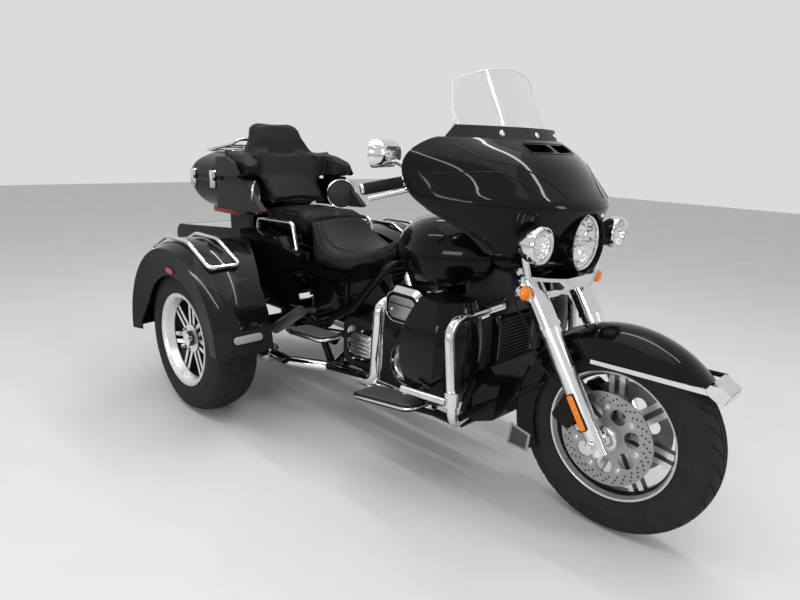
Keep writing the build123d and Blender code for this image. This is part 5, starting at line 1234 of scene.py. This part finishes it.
# %% Tail lamps, trunk door and mufflers
DOOR_FACE, HANDLE_Z = REAR_X - 0.6588, 0.674
MUFFLER_LIP = [
    (-0.004, 0.0455), (0.0, 0.0472), (0.004, 0.047), (0.006, 0.044), (0.005, 0.039), (-0.004, 0.0382),
]
MUFFLER_BORE = [(-0.052, 0.0), (-0.052, 0.0372), (-0.004, 0.0378)]
LOCK = [(0, 0.011), (0.003, 0.011), (0.004, 0.009), (0.004, 0.004), (0.001, 0.003), (0.001, 0.0)]


def across(origin, outline):
    """Places of a flat outline that stands across the trike."""
    return [at(origin, 0, y, z) for y, z in outline]


for side, word in SIDES:
    bezel = across((REAR_X - 0.6455, side * 0.306, 0.61), rounded(0.063, 0.135, 0.022, 6))
    cord_round("tail_bezel_" + word, bezel, 0.008)
    end = (REAR_X - 0.56, side * 0.3, 0.235)
    turned("muffler_lip_" + word, MUFFLER_LIP, end, BACKWARD, "chrome", "chassis", 56)
    turned("muffler_bore_" + word, MUFFLER_BORE, end, BACKWARD, "crinkle_black", "chassis", 40)
panel = across((DOOR_FACE, 0, 0.545), rounded(0.45, 0.19, 0.024, 6))
cord_round("door_bead", panel, 0.007, True, "gloss_black", "trunk_door")
slab(
    "door_handle", rounded(0.15, 0.026, 0.01), (DOOR_FACE, 0, HANDLE_Z), BACKWARD, 0.009,
    "chrome", "trunk_door", 0.003, LEFT,
)
turned("door_lock", LOCK, (DOOR_FACE, 0.105, HANDLE_Z), BACKWARD, "chrome", "trunk_door", 32)
print("rear trim")

# %% [markdown]
# Each grip is a rubber sleeve with shallow ribs and a bright cap on its end. The profile runs
# along the bar, and the ribs are a ripple in its radius.

# %% Grips
RIB_STEPS = 89
for side, word in SIDES:
    outer = Vector((REAR_X + 0.935, side * 0.452, 1.03))
    inner = Vector((REAR_X + 1.01, side * 0.338, 1.058))
    length = (outer - inner).length
    sleeve = [(0.0, 0.014), (0.001, 0.0185), (0.005, 0.019)]
    for i in range(RIB_STEPS + 1):
        ripple = 0.0009 * abs(sin(pi * 15 * i / RIB_STEPS)) ** 0.5
        sleeve.append((0.008 + (length - 0.022) * i / RIB_STEPS, 0.018 + ripple))
    sleeve += [(length - 0.012, 0.019), (length - 0.01, 0.017)]
    cap = [(length - x, r) for x, r in ((0.0105, 0.0176), (0.003, 0.018), (0.0008, 0.0165), (0.0004, 0.0))]
    grip = turned("grip_sleeve_" + word, sleeve, inner, outer - inner, "rubber", "steering", 40)
    turned("grip_cap_" + word, cap, inner, outer - inner, "chrome", "steering", 40)
    if word == "right":
        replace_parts(grip, "hand_grips")
print("grips, length", round(length, 3))

# %% [markdown]
# The rider looks down on a row of dials, a screen and two speakers let into the inner fairing.
# Each dial is a cup with a chrome bezel and a dark face with plain tick marks.

# %% Instruments
for name, scale, first, second in (
    ("dial_face", 90.0, rgb(0.01, 0.01, 0.011), rgb(0.02, 0.02, 0.021)),
    ("dial_ticks", 50.0, rgb(0.75, 0.75, 0.72), rgb(0.65, 0.65, 0.62)),
):
    clouded(name, scale, 3.0, first, second, IOR=1.45, Roughness=0.4)
screen = clouded(
    "screen_glass", 8.0, 3.0, rgb(0.006, 0.007, 0.01), rgb(0.012, 0.014, 0.02), IOR=1.5, Coat_Weight=1.0,
)
screen.set(Roughness=0.1 + 0.05 * screen.noise(30.0))
DASH = Vector((REAR_X + 1.1148, 0, 1.022))
BEZEL = ((0.0, 0.0), (0.005, 0.0), (0.008, 0.002), (0.0075, 0.006), (0.002, 0.007))
DIALS = ((-0.066, 0.09, 0.046), (0.066, 0.09, 0.046), (-0.163, 0.098, 0.03), (0.163, 0.098, 0.03))


def dash_turned(name, profile, place, finish, steps=48):
    turned(name, profile, place, BACKWARD, finish, "steering", steps)


for number, (y, z, radius) in enumerate(DIALS):
    centre = at(DASH, 0, y, z)
    bezel = [(x, radius - inward) for x, inward in BEZEL]
    dash_turned("dial_bezel_%d" % number, bezel, centre, "chrome")
    plate = [(0.0022, radius - 0.0065), (0.0022, 0.003), (0.0042, 0.0028), (0.0044, 0.0)]
    dash_turned("dial_plate_%d" % number, plate, centre, "dial_face", 40)
    marks = []
    for k in range(21):
        angle = radians(-130 + 260 * k / 20)
        marks.append(at(centre, -0.0023, (radius - 0.012) * sin(angle), (radius - 0.012) * cos(angle)))
    dots("dial_ticks_%d" % number, marks, BACKWARD, 0.0011, 0.0002, "dial_ticks", "steering", 6)
glass = rounded(0.165, 0.074, 0.008)
slab("dash_screen", glass, DASH, BACKWARD, 0.004, "screen_glass", "steering", along=LEFT)
screen_frame = across(at(DASH, -0.0028), rounded(0.171, 0.079, 0.01, 6))
cord_round("screen_bezel", screen_frame, 0.005, True, "moulded_plastic", "steering")
CONE = [(0.0, 0.058), (0.004, 0.058), (0.005, 0.054), (0.003, 0.051), (0.006, 0.03), (0.007, 0.0)]
for side, word in SIDES:
    dash_turned("dash_speaker_" + word, CONE, at(DASH, 0, side * 0.205, 0.018), "speaker_grille")
print("instruments")

# %% [markdown]
# The clear windshield stands in a black trim band that is held by three screws. Further down, the
# front fender's chrome tip carries a ribbed reflector.

# %% Windshield screws and fender tip
TRIM_RADIUS = 0.408
TRIM_CENTRE_X = REAR_X + 1.2795 - TRIM_RADIUS
screws = []
for y in (-0.15, 0.0, 0.15):
    turn = atan2(y, sqrt(TRIM_RADIUS**2 - y**2))
    place = (TRIM_CENTRE_X + TRIM_RADIUS * cos(turn), y, 1.219)
    screws.append((*place, (cos(turn) * 0.885, sin(turn) * 0.885, 0.466)))
bolts("windshield_screws", screws, None, 0.008, "chrome", "steering", 0.45, 16)
slab(
    "fender_tip_lens", rounded(0.078, 0.032, 0.006), (FRONT_X + 0.3082, 0, FRONT_Z + 0.2172),
    (0.92, 0, -0.39), 0.003, "reflector", "steering", 0.001, LEFT,
)
print("windshield screws", len(screws))

# %% [markdown]
# The fairing is pressed with two soft creases on each flank, which run from its ear down to the
# headlamp, and the vent in its brow has a raised lip and a divider. Each is a thin bead laid on
# the fairing: a few points give its run, and the fairing's own surface gives the rest. The lower
# fairings are boxes for small things, and the lid of each meets its box in a line of the same kind.

# %% Fairing creases and lid lines
AHEAD_OF_ALL = 1.4


def nearest_on(node, points):
    """Each point moved to the nearest place on a CAD piece."""
    place, piece = NODES[node].matrix_world, NODES[node]
    inward = place.inverted()
    return [place @ piece.closest_point_on_mesh(inward @ Vector(point))[1] for point in points]


def front_of(node, y, z):
    """The place on a CAD piece that is seen from straight ahead at a height and a distance across."""
    place, piece = NODES[node].matrix_world, NODES[node]
    inward = place.inverted()
    start = inward @ Vector((AHEAD_OF_ALL, y, z))
    return place @ piece.ray_cast(start, inward.to_3x3() @ Vector(BACKWARD))[1]


UPPER_CREASE = [
    (0.5414, 0.3199, 1.1835), (0.5848, 0.3064, 1.1651), (0.6426, 0.2755, 1.1413), (0.6891, 0.2246, 1.1304),
    (0.7308, 0.1803, 1.1104), (0.7715, 0.1405, 1.0813), (0.8101, 0.1125, 1.0476), (0.83, 0.096, 1.018),
]
LOWER_CREASE = [
    (0.5339, 0.3932, 1.0961), (0.5847, 0.3628, 1.1001), (0.6294, 0.3265, 1.1033), (0.6896, 0.2597, 1.1041),
    (0.7255, 0.2314, 1.0841), (0.7623, 0.2037, 1.0597), (0.803, 0.1809, 1.0271),
]
LID_PLACES = [(0.4, 0.374), (0.48, 0.384), (0.573, 0.389), (0.607, 0.352), (0.629, 0.3), (0.625, 0.235)]
LID_LINE = [(x, y, 0.56) for x, y in LID_PLACES]
for name, node, run, per_run, thickness, body in (
    ("fairing_crease_upper_", "outer_fairing", UPPER_CREASE, 8, 0.0042, "steering"),
    ("fairing_crease_lower_", "outer_fairing", LOWER_CREASE, 8, 0.0042, "steering"),
    ("lower_fairing_seam_", "lower_fairings", LID_LINE, 10, 0.003, "chassis"),
):
    for side, word in SIDES:
        line = nearest_on(node, curve_points([(x, side * y, z) for x, y, z in run], per_run))
        cord_round(name + word, line, thickness, False, "gloss_black", body)
print("creases and lid lines")

# %% Vent lip and divider
VENT_Z = 1.178
outline = rounded(0.254, 0.031, 0.0125, 6)
lip_line = []
for (y0, z0), (y1, z1) in zip(outline, outline[1:] + outline[:1]):
    pieces = 1 + int(sqrt((y1 - y0) ** 2 + (z1 - z0) ** 2) / 0.012)
    for share in (i / pieces for i in range(pieces)):
        lip_line.append(front_of("outer_fairing", y0 + (y1 - y0) * share, VENT_Z + z0 + (z1 - z0) * share))
cord_round("vent_lip", lip_line, 0.0046, True, "gloss_black", "steering")
low_foot, high_foot = (front_of("outer_fairing", 0.0, VENT_Z + rise) for rise in (-0.012, 0.012))
slope = high_foot - low_foot
slab(
    "vent_divider", rounded(0.006, slope.length, 0.002), (low_foot + high_foot) / 2,
    slope.cross(Vector(LEFT)), 0.0022, "polished_alloy", "steering", 0.0006, LEFT,
)
print("vent lip points", len(lip_line))

# %% [markdown]
# A clear sheet shows most at its edge, where light that has run along inside it comes out. So the
# windshield gets a thin pale bead round its side edges and its arched top: a painted highlight.

# %% Windshield edge
clouded(
    "painted_edge_highlight", 40.0, 3.0, rgb(0.86, 0.88, 0.89), rgb(0.72, 0.75, 0.77), (0.18, 0.1),
    IOR=1.49, Coat_Weight=0.6, Coat_Roughness=0.05,
)
FOOT_Z, SHOULDER_Z, TOP_Z = 1.243, 1.377, 1.4275
FOOT_HALF, SHOULDER_HALF = 0.2475, 0.2185
SIDE_RUNS, ARCH_RUNS = 12, 16
arch_rise = TOP_Z - SHOULDER_Z
arch_radius = (SHOULDER_HALF**2 + arch_rise**2) / (2 * arch_rise)
foot, shoulder = Vector((FOOT_HALF, FOOT_Z)), Vector((SHOULDER_HALF, SHOULDER_Z))
edge_line = [tuple(foot.lerp(shoulder, i / SIDE_RUNS)) for i in range(SIDE_RUNS + 1)]
for i in range(1, ARCH_RUNS + 1):
    y = SHOULDER_HALF * (1 - i / ARCH_RUNS)
    edge_line.append((y, TOP_Z - arch_radius + sqrt(arch_radius**2 - y**2)))
edge_line += [(-y, z) for y, z in edge_line[-2::-1]]
edge_places = [front_of("windshield", y, z) for y, z in edge_line]
# The pale bead is a painted highlight along the sheet's edge.
cord_round("windshield_edge", edge_places, 0.003, False, "painted_edge_highlight", "steering")
print("windshield edge from", edge_places[0], "to", edge_places[-1])

# %% [markdown]
# The stage is a plain pale floor, and the world behind it is nearly the same pale grey. Two thin
# ceiling strips, a broad overhead lamp, and soft lamps at the right and in front stand in for a
# studio. Paint and chrome are mirrors, so the lamps' shapes draw the highlights on them.

# %% Floor
FLOOR_HALF = 14.0
FLOOR_DROP = 0.0005

signs = ((-1, -1), (1, -1), (1, 1), (-1, 1))
corners = [(sx * FLOOR_HALF, sy * FLOOR_HALF, -FLOOR_DROP) for sx, sy in signs]
floor = mesh_from("floor", corners, [(0, 1, 2, 3)])
floor_finish = Finish("floor_finish")
speckle = floor_finish.noise(3.0, 6.0)
pale, worn = rgb(0.7, 0.7, 0.695), rgb(0.65, 0.65, 0.645)
floor_finish.set(Base_Color=floor_finish.mix(speckle.above(0.5, 0.4), pale, worn))
floor_finish.set(Roughness=0.55 + 0.2 * speckle)
floor.data.materials.append(floor_finish.material)
print("floor laid")

# %% [markdown]
# What the camera, mirrors and clear plastic see behind the stage is a little lighter than the light
# that the world gives, so that the backdrop stays pale without washing out the paint.

# %% World
BACKDROP_COLOUR = rgb(0.7, 0.71, 0.72)
STUDIO_COLOUR = rgb(0.58, 0.585, 0.59)
world = bpy.data.worlds.new("studio")
bpy.context.scene.world = world
world.use_nodes = True
nodes, link = world.node_tree.nodes, world.node_tree.links.new
backdrop, fill = nodes["Background"], nodes.new("ShaderNodeBackground")
for background, colour in ((backdrop, BACKDROP_COLOUR), (fill, STUDIO_COLOUR)):
    background.inputs["Color"].default_value = colour
    background.inputs["Strength"].default_value = 1.0
ray = nodes.new("ShaderNodeLightPath")
seen = ray.outputs["Is Camera Ray"]
for kind in ("Is Transmission Ray", "Is Glossy Ray"):
    either = nodes.new("ShaderNodeMath")
    either.operation = "MAXIMUM"
    link(seen, either.inputs[0])
    link(ray.outputs[kind], either.inputs[1])
    seen = either.outputs[0]
blend_sky = nodes.new("ShaderNodeMixShader")
for socket, source in enumerate((seen, fill.outputs[0], backdrop.outputs[0])):
    link(source, blend_sky.inputs[socket])
link(blend_sky.outputs[0], nodes["World Output"].inputs["Surface"])
print("world ready")

# %% Lamps


def soft_lamp(name, place, aim, size, power):
    data = bpy.data.lights.new(name, "AREA")
    assign(data, shape="RECTANGLE", size=size[0], size_y=size[1], energy=power)
    made = add_object(name, data)
    made.location = place
    made.rotation_euler = (Vector(aim) - Vector(place)).to_track_quat("-Z", "Y").to_euler()


for number, across_y in enumerate((-1.9, 0.9)):
    soft_lamp("ceiling_strip_%d" % number, (0.1, across_y, 3.3), (0.1, across_y * 0.5, 0), (4.6, 0.12), 34)
soft_lamp("overhead_lamp", (0.2, -0.2, 4.6), (0, 0, 0.4), (4.5, 3.5), 44)
soft_lamp("right_lamp", (1.4, -4.6, 1.7), (0, 0, 0.6), (2.6, 0.7), 48)
soft_lamp("front_lamp", (4.6, 1.2, 1.9), (0, 0, 0.7), (0.6, 1.6), 30)

# %% [markdown]
# The camera stands where the photographer stood: ahead of the trike on its right, at chest
# height, looking back and slightly down. Its place and angles come from fitting the wheels'
# outlines, whose real sizes are known.

# %% Camera
CAMERA_PLACE = (1.772, -1.742, 1.175)
CAMERA_YAW, CAMERA_PITCH, CAMERA_ROLL = radians(135.08), radians(-14.34), radians(2.08)
FOCAL_PIXELS = 608
IMAGE_WIDTH = 800

level = cos(CAMERA_PITCH)
ahead = Vector((cos(CAMERA_YAW) * level, sin(CAMERA_YAW) * level, sin(CAMERA_PITCH)))
level_right = ahead.cross(Vector(UP)).normalized()
level_up = level_right.cross(ahead)
right = level_right * cos(CAMERA_ROLL) + level_up * sin(CAMERA_ROLL)
up = level_up * cos(CAMERA_ROLL) - level_right * sin(CAMERA_ROLL)
camera_data = bpy.data.cameras.new("camera")
camera_data.sensor_width = 36.0
camera_data.lens = camera_data.sensor_width * FOCAL_PIXELS / IMAGE_WIDTH
camera = add_object("camera", camera_data)
camera.matrix_world = Matrix.Translation(CAMERA_PLACE) @ Matrix((right, up, -ahead)).transposed().to_4x4()
bpy.context.scene.camera = camera
bpy.context.scene.view_settings.view_transform = "Standard"
print("lens:", round(camera_data.lens, 2), "mm")
